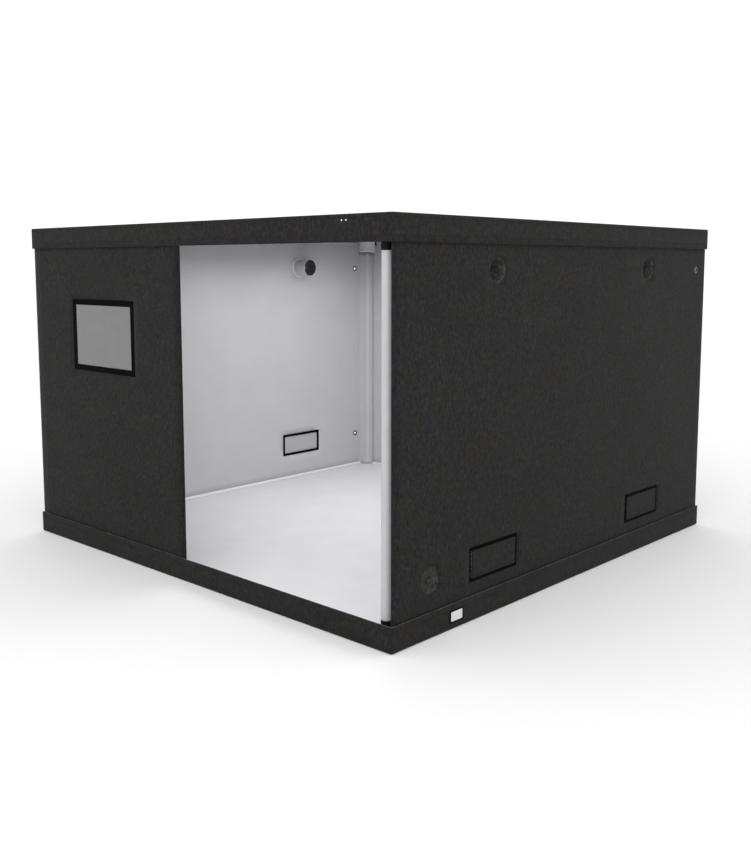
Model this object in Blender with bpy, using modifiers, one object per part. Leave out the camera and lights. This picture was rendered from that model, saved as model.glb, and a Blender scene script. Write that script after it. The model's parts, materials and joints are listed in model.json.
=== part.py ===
"""Printer enclosure tent: a low square tent of laminated canvas on a frame of steel tubes.

The canvas is charcoal outside and white inside.  A roof cap and a base tray, each with a skirt, close
over four wall panels.  The right half of the front is a door that folds inwards.  Lengths are in metres,
+Z is up, +X is to the right of someone facing the door, and the origin is on the ground under the middle.
"""

import math

import bmesh
import bpy
from mathutils import Matrix, Vector

# ---------------------------------------------------------------- driving dimensions

TENT_WIDTH = 1.100  # over the skirts, along X
TENT_DEPTH = 1.100  # over the skirts, along Y
TENT_HEIGHT = 0.700

GAP = 0.0003  # between two pieces that touch on the real tent
ROUND_STEPS = 24  # sides of a frame tube and of what fits it
PORT_STEPS = 40  # sides of a duct port
THIN_STEPS = 12  # sides of a thin rod or of piping
SMALL_HOLE_STEPS = 16
SHARP_EDGE = math.radians(40)

# Canvas
SKIRT_CLOTH = 0.0020  # roof cap and base tray
SKIRT_STAND_OFF = 0.0022  # room between a skirt and the wall behind it
ROOF_SKIRT = 0.045  # how far the roof's skirt hangs down
BASE_SKIRT = 0.045  # how far the base's skirt stands up
WALL_CLOTH = 0.0015
FLOOR_MAT = 0.0010

# Frame of tubes
TUBE_RADIUS = 0.0080
TUBE_WALL = 0.0010
POST_ROOM_X = 0.0140  # between a post and the wall beside it, across the tent
POST_ROOM_Y = 0.0035  # and front to back
RAIL_ROOM = 0.0050  # between a rail and the roof above it
SOCKET_LIP = 0.0007  # plastic collar that a tube stands on, proud of the tube
SOCKET_ARM = 0.0425  # from a corner's middle to its collar's end
SPIGOT_LENGTH = 0.025  # plug inside the tube
SPIGOT_CLEARANCE = 0.0003
KNUCKLE_SWELL = 0.0013  # ball at a corner's middle, proud of its collars
KNUCKLE_TURN = 0.05  # keeps the ball's seams off those of the collars
FOOT_FLANGE = 0.0023  # plate that holds the floor's edge rods down, proud of its collar
FOOT_THICKNESS = 0.0040
FOOT_STUB_ROOM = 0.0007  # between an edge rod and the stub that the plate stands on
FOOT_RISE = 0.0025  # top of the foot's collar, above the base skirt
ROOF_BAR_X = 0.0
CLIP_CLEARANCE = 0.0003
CLIP_WALL = 0.0019
CLIP_LENGTH = 0.020
CLIP_SNAP = 0.0025  # each side of the clip's mouth, inside the rail it snaps over
CLIP_ARM = 0.026  # from the rail's axis to the end of the clip's collar
EDGE_ROD_RADIUS = 0.0020  # rod sewn into the floor's edge

# Door, in the right half of the front
DOOR_AXIS_X = 0.0  # the middle of the front, so that the folded door fits behind its left half
DOOR_EDGE_ROOM = 0.0028  # between the tape on the free edge and the side wall
DOOR_SETBACK = 0.0002  # door's inner face, from the hinge axis
PIPING_RADIUS = 0.0014
HEADER_LIP = 0.0010  # front wall's header, above the roof skirt's hem
SILL_LIP = 0.0030  # front wall's sill, below the base skirt's top
DOOR_GAP = 0.0010  # at the door's top and bottom
POST_CLEARANCE = 0.0005  # between the folded or closed door and a post
TAPE_WIDTH = 0.0115
TAPE_CLOTH = 0.0008
TAPE_OVERHANG = 0.0055  # past the panel's free edge
JAMB_TAPE_WIDTH = 0.010
JAMB_TAPE_SETBACK = 0.0060  # behind the post
SLIDER_HEIGHT = 0.0120
SLIDER_PLATE = 0.0015
SLIDER_START = 0.0060  # slider's lower edge, above the door's lower edge
LUG_REACH = 0.0030
LUG_HEIGHT = 0.0040
LUG_WIDTH = 0.0012
LUG_HOLE = 0.0009
PULL_LENGTH = 0.022
PULL_WIDTH = 0.0052
PULL_THICKNESS = 0.0010

# Window, vents, ports and eyelets
WINDOW_SETBACK = 0.2738  # window's middle, from the left wall's outer face
WINDOW_DROP = 0.231  # and from the roof's top
WINDOW_WIDTH = 0.232  # over its binding
WINDOW_HEIGHT = 0.154
WINDOW_BORDER = 0.0120
WINDOW_WEB = 0.0080
PANE = 0.0005
PANE_LAP = 0.0040
BINDING_CLOTH = 0.0008
VENT_WIDTH = 0.142  # over its binding
VENT_HEIGHT = 0.062
VENT_RISE = 0.0235  # vent's lower edge, above the base skirt
SIDE_SETBACK = 0.2738  # middle of a vent and of the port above it, from the wall's nearer end
VENT_BORDER = 0.0045
VENT_WEB = 0.0015
VENT_MESH = 0.0004
FLAP_CLOTH = 0.0012
PORT_RADIUS = 0.0230
PORT_LENGTH = 0.0450  # sleeve, inwards from the wall's outer face
PORT_CLOTH = 0.0012
PORT_FLANGE = 0.0045  # sewn ring around the sleeve
FLANGE_CLOTH = 0.0008
UPPER_PORT_DROP = 0.045  # port's middle, below the roof skirt
CLOSED_PORT_SETBACK = 0.0958  # port's middle, from the wall's front end
CLOSED_PORT_RISE = 0.0535  # and above the base skirt
CLOSED_PORT_DEPTH = 0.0060
ROOF_PORT_INSET_X = 0.100  # port's middle, from the roof's left edge
ROOF_PORT_INSET_Y = 0.095  # and from its back edge
EYELET_HOLE = 0.00425  # radius
EYELET_WALL = 0.00115
EYELET_FLANGE = 0.0026
EYELET_LIP = 0.0008
EYELET_SETBACK = 0.0458  # eyelet's middle, from the wall's back end
EYELET_RISE = 0.055  # above the base skirt
EYELET_DROP = 0.048  # below the roof skirt

# Blank patch on the base skirt
PATCH_WIDTH = 0.037
PATCH_HEIGHT = 0.023
PATCH_THICKNESS = 0.0006
PATCH_SETBACK = 0.1665  # patch's middle, from the skirt's front end

# ---------------------------------------------------------------- places worked out from them

WALL_X = TENT_WIDTH / 2 - SKIRT_CLOTH - SKIRT_STAND_OFF  # outer faces of the walls
WALL_Y = TENT_DEPTH / 2 - SKIRT_CLOTH - SKIRT_STAND_OFF
INNER_X = WALL_X - WALL_CLOTH
INNER_Y = WALL_Y - WALL_CLOTH
WALL_LOW = SKIRT_CLOTH + GAP
WALL_HIGH = TENT_HEIGHT - SKIRT_CLOTH - GAP
FLOOR_TOP = WALL_LOW + FLOOR_MAT

ROOF_HEM = TENT_HEIGHT - ROOF_SKIRT

POST_X = INNER_X - POST_ROOM_X - TUBE_RADIUS
POST_Y = INNER_Y - POST_ROOM_Y - TUBE_RADIUS
RAIL_Z = TENT_HEIGHT - SKIRT_CLOTH - RAIL_ROOM - TUBE_RADIUS
TUBE_BORE = TUBE_RADIUS - TUBE_WALL
SPIGOT_RADIUS = TUBE_BORE - SPIGOT_CLEARANCE
SOCKET_RADIUS = TUBE_RADIUS + SOCKET_LIP
KNUCKLE_RADIUS = SOCKET_RADIUS + KNUCKLE_SWELL
FOOT_RADIUS = SOCKET_RADIUS + FOOT_FLANGE
FOOT_HEIGHT = BASE_SKIRT + FOOT_RISE
FOOT_STUB_RADIUS = TUBE_RADIUS + POST_ROOM_Y - GAP - 2 * EDGE_ROD_RADIUS - FOOT_STUB_ROOM
ROD_TOP = FLOOR_TOP + GAP + 2 * EDGE_ROD_RADIUS
CLIP_MOUTH = 2 * (TUBE_RADIUS - CLIP_SNAP)

HEADER_Z = ROOF_HEM + HEADER_LIP
SILL_Z = BASE_SKIRT - SILL_LIP
DOOR_LOW = SILL_Z + DOOR_GAP
DOOR_HIGH = HEADER_Z - DOOR_GAP
DOOR_START = PIPING_RADIUS + GAP
DOOR_INNER = -DOOR_SETBACK  # door faces, across the door from the hinge axis; its outer side is negative
DOOR_OUTER = DOOR_INNER - WALL_CLOTH
DOOR_AXIS_Y = -(INNER_Y + DOOR_INNER)
TAPE_INNER = DOOR_OUTER - GAP
TAPE_OUTER = TAPE_INNER - TAPE_CLOTH
TAPE_END = INNER_X - DOOR_AXIS_X - DOOR_EDGE_ROOM
DOOR_REACH = TAPE_END - TAPE_OVERHANG  # from the hinge axis to the panel's free edge

WINDOW_CENTRE_X = -WALL_X + WINDOW_SETBACK
WINDOW_CENTRE_Z = TENT_HEIGHT - WINDOW_DROP
SIDE_Y = WALL_Y - SIDE_SETBACK
VENT_CENTRE_Z = BASE_SKIRT + VENT_RISE + VENT_HEIGHT / 2
UPPER_PORT_Z = ROOF_HEM - UPPER_PORT_DROP
CLOSED_PORT_Y = -WALL_Y + CLOSED_PORT_SETBACK
CLOSED_PORT_Z = BASE_SKIRT + CLOSED_PORT_RISE
ROOF_PORT = (-TENT_WIDTH / 2 + ROOF_PORT_INSET_X, TENT_DEPTH / 2 - ROOF_PORT_INSET_Y, TENT_HEIGHT)
EYELET_BARREL = EYELET_HOLE + EYELET_WALL
EYELET_RADIUS = EYELET_BARREL + EYELET_FLANGE
EYELET_Y = WALL_Y - EYELET_SETBACK
EYELET_LOW_Z = BASE_SKIRT + EYELET_RISE
EYELET_HIGH_Z = ROOF_HEM - EYELET_DROP
PATCH_CENTRE_Y = -TENT_DEPTH / 2 + PATCH_SETBACK
PATCH_CENTRE_Z = BASE_SKIRT / 2

FINISHES = {
    # name: (sRGB colour, roughness, metallic)
    "charcoal_canvas": ((0.196, 0.192, 0.192), 0.90, 0.0),
    "white_lining": ((0.86, 0.86, 0.87), 0.60, 0.0),
    "white_tube": ((0.86, 0.86, 0.87), 0.35, 0.0),
    "black_plastic": ((0.02, 0.02, 0.02), 0.50, 0.0),
    "black_binding": ((0.015, 0.015, 0.015), 0.85, 0.0),
    "clear_vinyl": ((0.55, 0.55, 0.55), 0.15, 0.0),
    "vent_mesh": ((0.80, 0.80, 0.80), 0.80, 0.0),
    "zip_metal": ((0.05, 0.05, 0.05), 0.35, 1.0),
    "white_patch": ((0.88, 0.88, 0.89), 0.70, 0.0),
}


# ---------------------------------------------------------------- helpers


def clear_scene():
    for item in list(bpy.data.objects):
        bpy.data.objects.remove(item, do_unlink=True)


def new_collection(name):
    group = bpy.data.collections.new(name)
    bpy.context.scene.collection.children.link(group)
    return group


clear_scene()
PIECES = new_collection("printer_enclosure_tent")
CUTTERS = new_collection("cutters")


def srgb_to_linear(value):
    return value / 12.92 if value <= 0.04045 else ((value + 0.055) / 1.055) ** 2.4


def finish(name):
    material = bpy.data.materials.get(name)
    if material is None:
        colour, roughness, metallic = FINISHES[name]
        material = bpy.data.materials.new(name)
        material.use_nodes = True
        shader = material.node_tree.nodes["Principled BSDF"]
        shader.inputs["Base Color"].default_value = [srgb_to_linear(c) for c in colour] + [1.0]
        shader.inputs["Roughness"].default_value = roughness
        shader.inputs["Metallic"].default_value = metallic
    return material


def add_piece(name, mesh, finish_name, place=Matrix.Identity(4), group=PIECES):
    """An object of its own for one piece, put where `place` says."""
    item = bpy.data.objects.new(name, mesh)
    if finish_name and not mesh.materials:
        mesh.materials.append(finish(finish_name))
    group.objects.link(item)
    item.matrix_world = place
    return item


def box_mesh(name, low, high):
    """A box between two corners."""
    shape = bmesh.new()
    bmesh.ops.create_cube(shape, size=1.0)
    size = [h - l for l, h in zip(low, high)]
    middle = [(l + h) / 2 for l, h in zip(low, high)]
    bmesh.ops.transform(
        shape, matrix=Matrix.Translation(middle) @ Matrix.Diagonal((*size, 1)), verts=shape.verts
    )
    mesh = bpy.data.meshes.new(name)
    shape.to_mesh(mesh)
    shape.free()
    return mesh


def box(name, low, high, finish_name, place=Matrix.Identity(4)):
    return add_piece(name, box_mesh(name, low, high), finish_name, place)


def turned(name, profile, finish_name, place, steps=ROUND_STEPS, closed=True, group=PIECES):
    """A turned piece: its profile, (radius, height) down the outer side first, spun about local Z."""
    edges = [(i, i + 1) for i in range(len(profile) - 1)]
    if closed:
        edges.append((len(profile) - 1, 0))
    mesh = bpy.data.meshes.new(name)
    mesh.from_pydata([(r, 0.0, h) for r, h in profile], edges, [])
    item = add_piece(name, mesh, finish_name, place, group)
    spin = item.modifiers.new("Spin", "SCREW")
    spin.angle = 2 * math.pi
    spin.steps = steps
    spin.render_steps = steps
    spin.use_merge_vertices = True
    spin.merge_threshold = 0.00001
    spin.use_smooth_shade = True
    return item


def pointing(start, direction):
    """The place of a piece whose local Z runs from `start` along `direction`."""
    turn = Vector((0, 0, 1)).rotation_difference(Vector(direction)).to_matrix().to_4x4()
    return Matrix.Translation(start) @ turn


def combine(item, other, operation):
    """Cut `item` with `other`, or join `other` to it; `other` becomes a guide that isn't a piece."""
    for group in list(other.users_collection):
        group.objects.unlink(other)
    CUTTERS.objects.link(other)
    other.hide_render = True
    other.display_type = "WIRE"
    step = item.modifiers.new(operation.title(), "BOOLEAN")
    step.operation = operation
    step.solver = "EXACT"
    step.object = other


def cut(item, other):
    combine(item, other, "DIFFERENCE")


def join(item, other):
    combine(item, other, "UNION")


def box_guide(name, low, high, place=Matrix.Identity(4)):
    return add_piece(name, box_mesh(name, low, high), None, place, CUTTERS)


def rod_guide(name, radius, length, place, steps=PORT_STEPS):
    """A round guide, `length` long along its local Z, centred on `place`."""
    profile = [(0, length / 2), (radius, length / 2), (radius, -length / 2), (0, -length / 2)]
    return turned(name, profile, None, place, steps, closed=False, group=CUTTERS)


def finished_mesh(item):
    """The mesh that an object's modifiers make, for pieces that are used more than once."""
    graph = bpy.context.evaluated_depsgraph_get()
    mesh = bpy.data.meshes.new_from_object(item.evaluated_get(graph))
    mesh.transform(item.matrix_world)
    mesh.name = item.name + "_mesh"
    mesh.set_sharp_from_angle(angle=SHARP_EDGE)
    bpy.data.objects.remove(item, do_unlink=True)
    return mesh


# ---------------------------------------------------------------- frame


def tube(name, start, end):
    """A hollow steel tube between two points."""
    run = Vector(end) - Vector(start)
    profile = [(TUBE_RADIUS, run.length), (TUBE_RADIUS, 0), (TUBE_BORE, 0), (TUBE_BORE, run.length)]
    return turned(name, profile, "white_tube", pointing(start, run))


def socket_arm(name, direction, length, start=(0, 0, 0)):
    """A collar with the tube's stop at its end, and the spigot beyond it."""
    tip = length + SPIGOT_LENGTH
    profile = [(0, tip), (SPIGOT_RADIUS, tip), (SPIGOT_RADIUS, length), (SOCKET_RADIUS, length)]
    profile += [(SOCKET_RADIUS, 0), (0, 0)]
    return turned(name, profile, "black_plastic", pointing(start, direction), closed=False)


def build_corners():
    """Four three-way corners: the one mesh, turned by quarter turns."""
    corner = socket_arm("corner", (0, 0, -1), SOCKET_ARM)
    join(corner, socket_arm("corner_arm_x", (-1, 0, 0), SOCKET_ARM))
    join(corner, socket_arm("corner_arm_y", (0, -1, 0), SOCKET_ARM))
    knuckle = bmesh.new()
    bmesh.ops.create_uvsphere(
        knuckle, u_segments=ROUND_STEPS, v_segments=ROUND_STEPS // 2, radius=KNUCKLE_RADIUS
    )
    ball = bpy.data.meshes.new("knuckle")
    knuckle.to_mesh(ball)
    knuckle.free()
    join(corner, add_piece("knuckle", ball, "black_plastic", Matrix.Rotation(KNUCKLE_TURN, 4, "Z")))
    mesh = finished_mesh(corner)
    corners = {
        "back_right": (POST_X, POST_Y, 0),
        "back_left": (-POST_X, POST_Y, 1),
        "front_left": (-POST_X, -POST_Y, 2),
        "front_right": (POST_X, -POST_Y, 3),
    }
    for side, (x, y, quarter) in corners.items():
        place = Matrix.Translation((x, y, RAIL_Z)) @ Matrix.Rotation(quarter * math.pi / 2, 4, "Z")
        add_piece("corner_connector_" + side, mesh, "black_plastic", place)
        build_post(side, x, y)


def build_post(side, x, y):
    """An upright between its foot and the corner above it."""
    tip = FOOT_HEIGHT + SPIGOT_LENGTH
    ground = FLOOR_TOP + GAP
    plate = ROD_TOP + GAP
    profile = [(0, tip), (SPIGOT_RADIUS, tip), (SPIGOT_RADIUS, FOOT_HEIGHT)]
    profile += [(SOCKET_RADIUS, FOOT_HEIGHT), (SOCKET_RADIUS, plate + FOOT_THICKNESS)]
    profile += [(FOOT_RADIUS, plate + FOOT_THICKNESS), (FOOT_RADIUS, plate)]
    profile += [(FOOT_STUB_RADIUS, plate), (FOOT_STUB_RADIUS, ground), (0, ground)]
    turned("foot_" + side, profile, "black_plastic", Matrix.Translation((x, y, 0)), closed=False)
    tube("upright_" + side, (x, y, FOOT_HEIGHT + GAP), (x, y, RAIL_Z - SOCKET_ARM - GAP))


def build_rails():
    reach_x = POST_X - SOCKET_ARM - GAP
    reach_y = POST_Y - SOCKET_ARM - GAP
    for side, y in (("front", -POST_Y), ("back", POST_Y)):
        tube("top_rail_" + side, (-reach_x, y, RAIL_Z), (reach_x, y, RAIL_Z))
    for side, x in (("left", -POST_X), ("right", POST_X)):
        tube("top_rail_" + side, (x, -reach_y, RAIL_Z), (x, reach_y, RAIL_Z))


def build_roof_bar():
    """The bar that carries a filter or a lamp, with a snap clip on the front and the back rail."""
    inner = TUBE_RADIUS + CLIP_CLEARANCE
    outer = inner + CLIP_WALL
    half = CLIP_LENGTH / 2
    ring = [(outer, half), (outer, -half), (inner, -half), (inner, half)]
    clip = turned("clip", ring, "black_plastic", pointing((0, 0, 0), (1, 0, 0)))
    mouth = ((-half * 2, -CLIP_MOUTH / 2, -outer * 2), (half * 2, CLIP_MOUTH / 2, 0))
    cut(clip, box_guide("clip_mouth", *mouth))
    arm_start = (0, inner + GAP, 0)
    join(clip, socket_arm("clip_arm", (0, 1, 0), CLIP_ARM - inner - GAP, arm_start))
    mesh = finished_mesh(clip)
    for side, y, turn in (("front", -POST_Y, 0), ("back", POST_Y, math.pi)):
        place = Matrix.Translation((ROOF_BAR_X, y, RAIL_Z)) @ Matrix.Rotation(turn, 4, "Z")
        add_piece("roof_bar_clip_" + side, mesh, "black_plastic", place)
    reach = POST_Y - CLIP_ARM - GAP
    tube("roof_bar", (ROOF_BAR_X, -reach, RAIL_Z), (ROOF_BAR_X, reach, RAIL_Z))


def edge_rod(name, start, end):
    run = Vector(end) - Vector(start)
    profile = [(0, run.length), (EDGE_ROD_RADIUS, run.length), (EDGE_ROD_RADIUS, 0), (0, 0)]
    return turned(name, profile, "white_lining", pointing(start, run), THIN_STEPS, closed=False)


def build_edge_rods():
    """Thin rods in the seam between the floor and the walls."""
    x = INNER_X - GAP - EDGE_ROD_RADIUS
    y = INNER_Y - GAP - EDGE_ROD_RADIUS
    z = ROD_TOP - EDGE_ROD_RADIUS
    reach_y = INNER_Y - GAP
    reach_x = x - EDGE_ROD_RADIUS - GAP
    edge_rod("floor_edge_rod_left", (-x, -reach_y, z), (-x, reach_y, z))
    edge_rod("floor_edge_rod_right", (x, -reach_y, z), (x, reach_y, z))
    edge_rod("floor_edge_rod_front", (-reach_x, -y, z), (reach_x, -y, z))
    edge_rod("floor_edge_rod_back", (-reach_x, y, z), (reach_x, y, z))


# ---------------------------------------------------------------- canvas


def tray(name, low, high, open_side, finish_name):
    """An open box of cloth: five sides of a box, thickened inwards.  open_side is +1 up or -1 down."""
    mesh = box_mesh(name, low, high)
    shape = bmesh.new()
    shape.from_mesh(mesh)
    shape.faces.ensure_lookup_table()
    missing = [face for face in shape.faces if face.normal.z * open_side > 0.5]
    bmesh.ops.delete(shape, geom=missing, context="FACES_ONLY")
    shape.to_mesh(mesh)
    shape.free()
    item = add_piece(name, mesh, finish_name)
    cloth = item.modifiers.new("Cloth", "SOLIDIFY")
    cloth.thickness = SKIRT_CLOTH
    cloth.offset = -1.0
    cloth.use_even_offset = True
    return item


def build_roof_and_base():
    half_x = TENT_WIDTH / 2
    half_y = TENT_DEPTH / 2
    low = (-half_x, -half_y, ROOF_HEM)
    roof = tray("roof_cap", low, (half_x, half_y, TENT_HEIGHT), -1, "charcoal_canvas")
    port = Matrix.Translation(ROOF_PORT)
    cut(roof, rod_guide("roof_port_hole", PORT_RADIUS + GAP, SKIRT_CLOTH * 4, port))
    tray("base_tray", (-half_x, -half_y, 0), (half_x, half_y, BASE_SKIRT), 1, "charcoal_canvas")
    mat_x = INNER_X - GAP
    mat_y = INNER_Y - GAP
    box("floor_mat", (-mat_x, -mat_y, WALL_LOW), (mat_x, mat_y, FLOOR_TOP), "white_lining")


def wall_hole(wall, name, y, z, x, radius):
    """A round hole through a side wall."""
    cut(wall, rod_guide(name, radius, WALL_CLOTH * 4, pointing((x, y, z), (1, 0, 0))))


def vent_hole(wall, name, y, x):
    half_y = VENT_WIDTH / 2 - VENT_BORDER + VENT_WEB + GAP
    half_z = VENT_HEIGHT / 2 - VENT_BORDER + VENT_WEB + GAP
    deep = WALL_CLOTH * 2
    low = (x - deep, y - half_y, VENT_CENTRE_Z - half_z)
    high = (x + deep, y + half_y, VENT_CENTRE_Z + half_z)
    cut(wall, box_guide(name, low, high))


def build_side_wall(side, sign, open_ports, closed_ports, eyelets):
    """A side wall with its vents, ports and eyelets."""
    faces = sorted((sign * INNER_X, sign * WALL_X))
    low = (faces[0], -WALL_Y, WALL_LOW)
    wall = box("wall_" + side, low, (faces[1], WALL_Y, WALL_HIGH), "charcoal_canvas")
    x = sign * WALL_X
    outward = Matrix.Identity(4) if sign > 0 else Matrix.Rotation(math.pi, 4, "Z")
    for end, y in (("front", -SIDE_Y), ("back", SIDE_Y)):
        vent_hole(wall, f"vent_hole_{side}_{end}", y, x)
        build_vent(f"{side}_{end}", Matrix.Translation((x, y, VENT_CENTRE_Z)) @ outward)
    for end, y, z in open_ports:
        wall_hole(wall, f"port_hole_{side}_{end}", y, z, x, PORT_RADIUS + GAP)
        duct_sleeve(f"duct_sleeve_{side}_{end}", pointing((x, y, z), (-sign, 0, 0)), WALL_CLOTH)
    for y, z in closed_ports:
        wall_hole(wall, f"closed_port_hole_{side}", y, z, x, PORT_RADIUS + GAP)
        closed_sleeve(f"closed_sleeve_{side}", pointing((x, y, z), (-sign, 0, 0)))
    for end, z in eyelets:
        wall_hole(wall, f"eyelet_hole_{side}_{end}", EYELET_Y, z, x, EYELET_BARREL + GAP)
        eyelet(f"eyelet_{side}_{end}", pointing((x, EYELET_Y, z), (-sign, 0, 0)))


def build_walls():
    build_side_wall(
        "left",
        -1,
        [("back", SIDE_Y, UPPER_PORT_Z)],
        [],
        [("low", EYELET_LOW_Z), ("high", EYELET_HIGH_Z)],
    )
    build_side_wall(
        "right",
        1,
        [("front", -SIDE_Y, UPPER_PORT_Z), ("back", SIDE_Y, UPPER_PORT_Z)],
        [(CLOSED_PORT_Y, CLOSED_PORT_Z)],
        [("high", EYELET_HIGH_Z)],
    )
    duct_sleeve("duct_sleeve_roof", pointing(ROOF_PORT, (0, 0, -1)), SKIRT_CLOTH)
    reach = INNER_X - GAP
    box("wall_back", (-reach, INNER_Y, WALL_LOW), (reach, WALL_Y, WALL_HIGH), "charcoal_canvas")
    build_front_wall(reach)


def build_front_wall(reach):
    """The left half of the front, with a header above and a sill below the door."""
    wall = box("wall_front", (-reach, -WALL_Y, WALL_LOW), (reach, -INNER_Y, WALL_HIGH), "charcoal_canvas")
    deep = WALL_CLOTH * 2
    edge = DOOR_AXIS_X - DOOR_START
    low = (edge, -WALL_Y - deep, SILL_Z)
    cut(wall, box_guide("door_opening", low, (reach * 2, -INNER_Y + deep, HEADER_Z)))
    half_x = WINDOW_WIDTH / 2 - WINDOW_BORDER + WINDOW_WEB + GAP
    half_z = WINDOW_HEIGHT / 2 - WINDOW_BORDER + WINDOW_WEB + GAP
    low = (WINDOW_CENTRE_X - half_x, -WALL_Y - deep, WINDOW_CENTRE_Z - half_z)
    high = (WINDOW_CENTRE_X + half_x, -INNER_Y + deep, WINDOW_CENTRE_Z + half_z)
    cut(wall, box_guide("window_hole", low, high))
    build_window()


# ---------------------------------------------------------------- window, vents, ports, eyelets


def binding(name, width, height, border, web, place):
    """A bound frame that grips the edge of a hole in a wall.

    Local +X is outwards, with x = 0 on the wall's outer face; the frame is a U that opens away from
    the hole, and the wall's edge lies in it.
    """
    outer = GAP + BINDING_CLOTH
    inner = -WALL_CLOTH - GAP - BINDING_CLOTH
    half_y = width / 2
    half_z = height / 2
    frame = box(name, (inner, -half_y, -half_z), (outer, half_y, half_z), "black_binding", place)
    beyond = 2 * half_y
    groove = ((-WALL_CLOTH - GAP, -beyond, -beyond), (GAP, beyond, beyond))
    cut(frame, box_guide(name + "_groove", *groove, place))
    core_y = half_y - border + web
    core_z = half_z - border + web
    join(frame, box_guide(name + "_core", (inner, -core_y, -core_z), (outer, core_y, core_z), place))
    open_y = half_y - border
    open_z = half_z - border
    through = ((inner * 2, -open_y, -open_z), (outer * 2, open_y, open_z))
    cut(frame, box_guide(name + "_opening", *through, place))
    return frame


def build_window():
    place = Matrix.Translation((WINDOW_CENTRE_X, -WALL_Y, WINDOW_CENTRE_Z))
    place = place @ Matrix.Rotation(-math.pi / 2, 4, "Z")
    frame = binding("window_binding", WINDOW_WIDTH, WINDOW_HEIGHT, WINDOW_BORDER, WINDOW_WEB, place)
    lap_y = WINDOW_WIDTH / 2 - WINDOW_BORDER + PANE_LAP
    lap_z = WINDOW_HEIGHT / 2 - WINDOW_BORDER + PANE_LAP
    middle = -WALL_CLOTH / 2
    slot_low = (middle - PANE / 2 - GAP, -lap_y - GAP, -lap_z - GAP)
    slot_high = (middle + PANE / 2 + GAP, lap_y + GAP, lap_z + GAP)
    cut(frame, box_guide("window_pane_slot", slot_low, slot_high, place))
    low = (middle - PANE / 2, -lap_y, -lap_z)
    box("window_pane", low, (middle + PANE / 2, lap_y, lap_z), "clear_vinyl", place)


def build_vent(side, place):
    """A bound opening with a sewn-in mesh, and a flap that hangs over it from its top edge."""
    binding("vent_binding_" + side, VENT_WIDTH, VENT_HEIGHT, VENT_BORDER, VENT_WEB, place)
    half_y = VENT_WIDTH / 2 - VENT_BORDER - GAP
    half_z = VENT_HEIGHT / 2 - VENT_BORDER - GAP
    low = (-WALL_CLOTH, -half_y, -half_z)
    box("vent_mesh_" + side, low, (-WALL_CLOTH + VENT_MESH, half_y, half_z), "vent_mesh", place)
    hinge = place @ Matrix.Translation((GAP + BINDING_CLOTH + GAP, 0, half_z))
    low = (-FLAP_CLOTH, -half_y, -2 * half_z)
    box("vent_flap_" + side, low, (0, half_y, 0), "charcoal_canvas", hinge)


def duct_sleeve(name, place, cloth):
    """An open cloth sleeve; local Z runs inwards from the outer face of cloth that is `cloth` thick."""
    ring = PORT_RADIUS + PORT_FLANGE
    near = cloth + GAP
    far = near + FLANGE_CLOTH
    bore = PORT_RADIUS - PORT_CLOTH
    profile = [(PORT_RADIUS, PORT_LENGTH), (PORT_RADIUS, far), (ring, far), (ring, near)]
    profile += [(PORT_RADIUS, near), (PORT_RADIUS, 0), (bore, 0), (bore, PORT_LENGTH)]
    turned(name, profile, "white_lining", place, PORT_STEPS)


def closed_sleeve(name, place):
    """A port whose sleeve is drawn shut: a shallow cup, clear of the door's path."""
    ring = PORT_RADIUS + PORT_FLANGE
    near = WALL_CLOTH + GAP
    far = near + FLANGE_CLOTH
    bore = PORT_RADIUS - PORT_CLOTH
    depth = CLOSED_PORT_DEPTH
    profile = [(0, depth), (PORT_RADIUS, depth), (PORT_RADIUS, far), (ring, far), (ring, near)]
    profile += [(PORT_RADIUS, near), (PORT_RADIUS, 0), (bore, 0)]
    profile += [(bore, depth - PORT_CLOTH), (0, depth - PORT_CLOTH)]
    turned(name, profile, "charcoal_canvas", place, PORT_STEPS, closed=False)


def eyelet(name, place):
    """A pressed ring that grips both faces of the wall; local Z runs inwards."""
    near = -GAP
    far = WALL_CLOTH + GAP
    profile = [(EYELET_RADIUS, far + EYELET_LIP), (EYELET_RADIUS, far), (EYELET_BARREL, far)]
    profile += [(EYELET_BARREL, near), (EYELET_RADIUS, near), (EYELET_RADIUS, near - EYELET_LIP)]
    profile += [(EYELET_HOLE, near - EYELET_LIP), (EYELET_HOLE, far + EYELET_LIP)]
    turned(name, profile, "black_plastic", place)


def build_patch():
    x = TENT_WIDTH / 2 + GAP
    half_y = PATCH_WIDTH / 2
    half_z = PATCH_HEIGHT / 2
    low = (x, PATCH_CENTRE_Y - half_y, PATCH_CENTRE_Z - half_z)
    high = (x + PATCH_THICKNESS, PATCH_CENTRE_Y + half_y, PATCH_CENTRE_Z + half_z)
    box("blank_patch", low, high, "white_patch")


# ---------------------------------------------------------------- door


def tilt_past_post(face):
    """The angle at which a door face, `face` from the hinge axis, just clears a post's collar."""
    across = POST_X - DOOR_AXIS_X
    along = POST_Y + DOOR_AXIS_Y  # post's axis, in front of (-) or behind (+) the hinge axis
    room = SOCKET_RADIUS + POST_CLEARANCE + face
    reach = math.hypot(across, along)
    return math.asin(room / reach) + math.asin(-along / reach)


def door_angles():
    """The door's two limits, measured from straight to the right: shut, and folded against the front."""
    shut = tilt_past_post(-TAPE_OUTER)
    folded = math.pi - tilt_past_post(DOOR_INNER)
    return shut, folded


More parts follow.
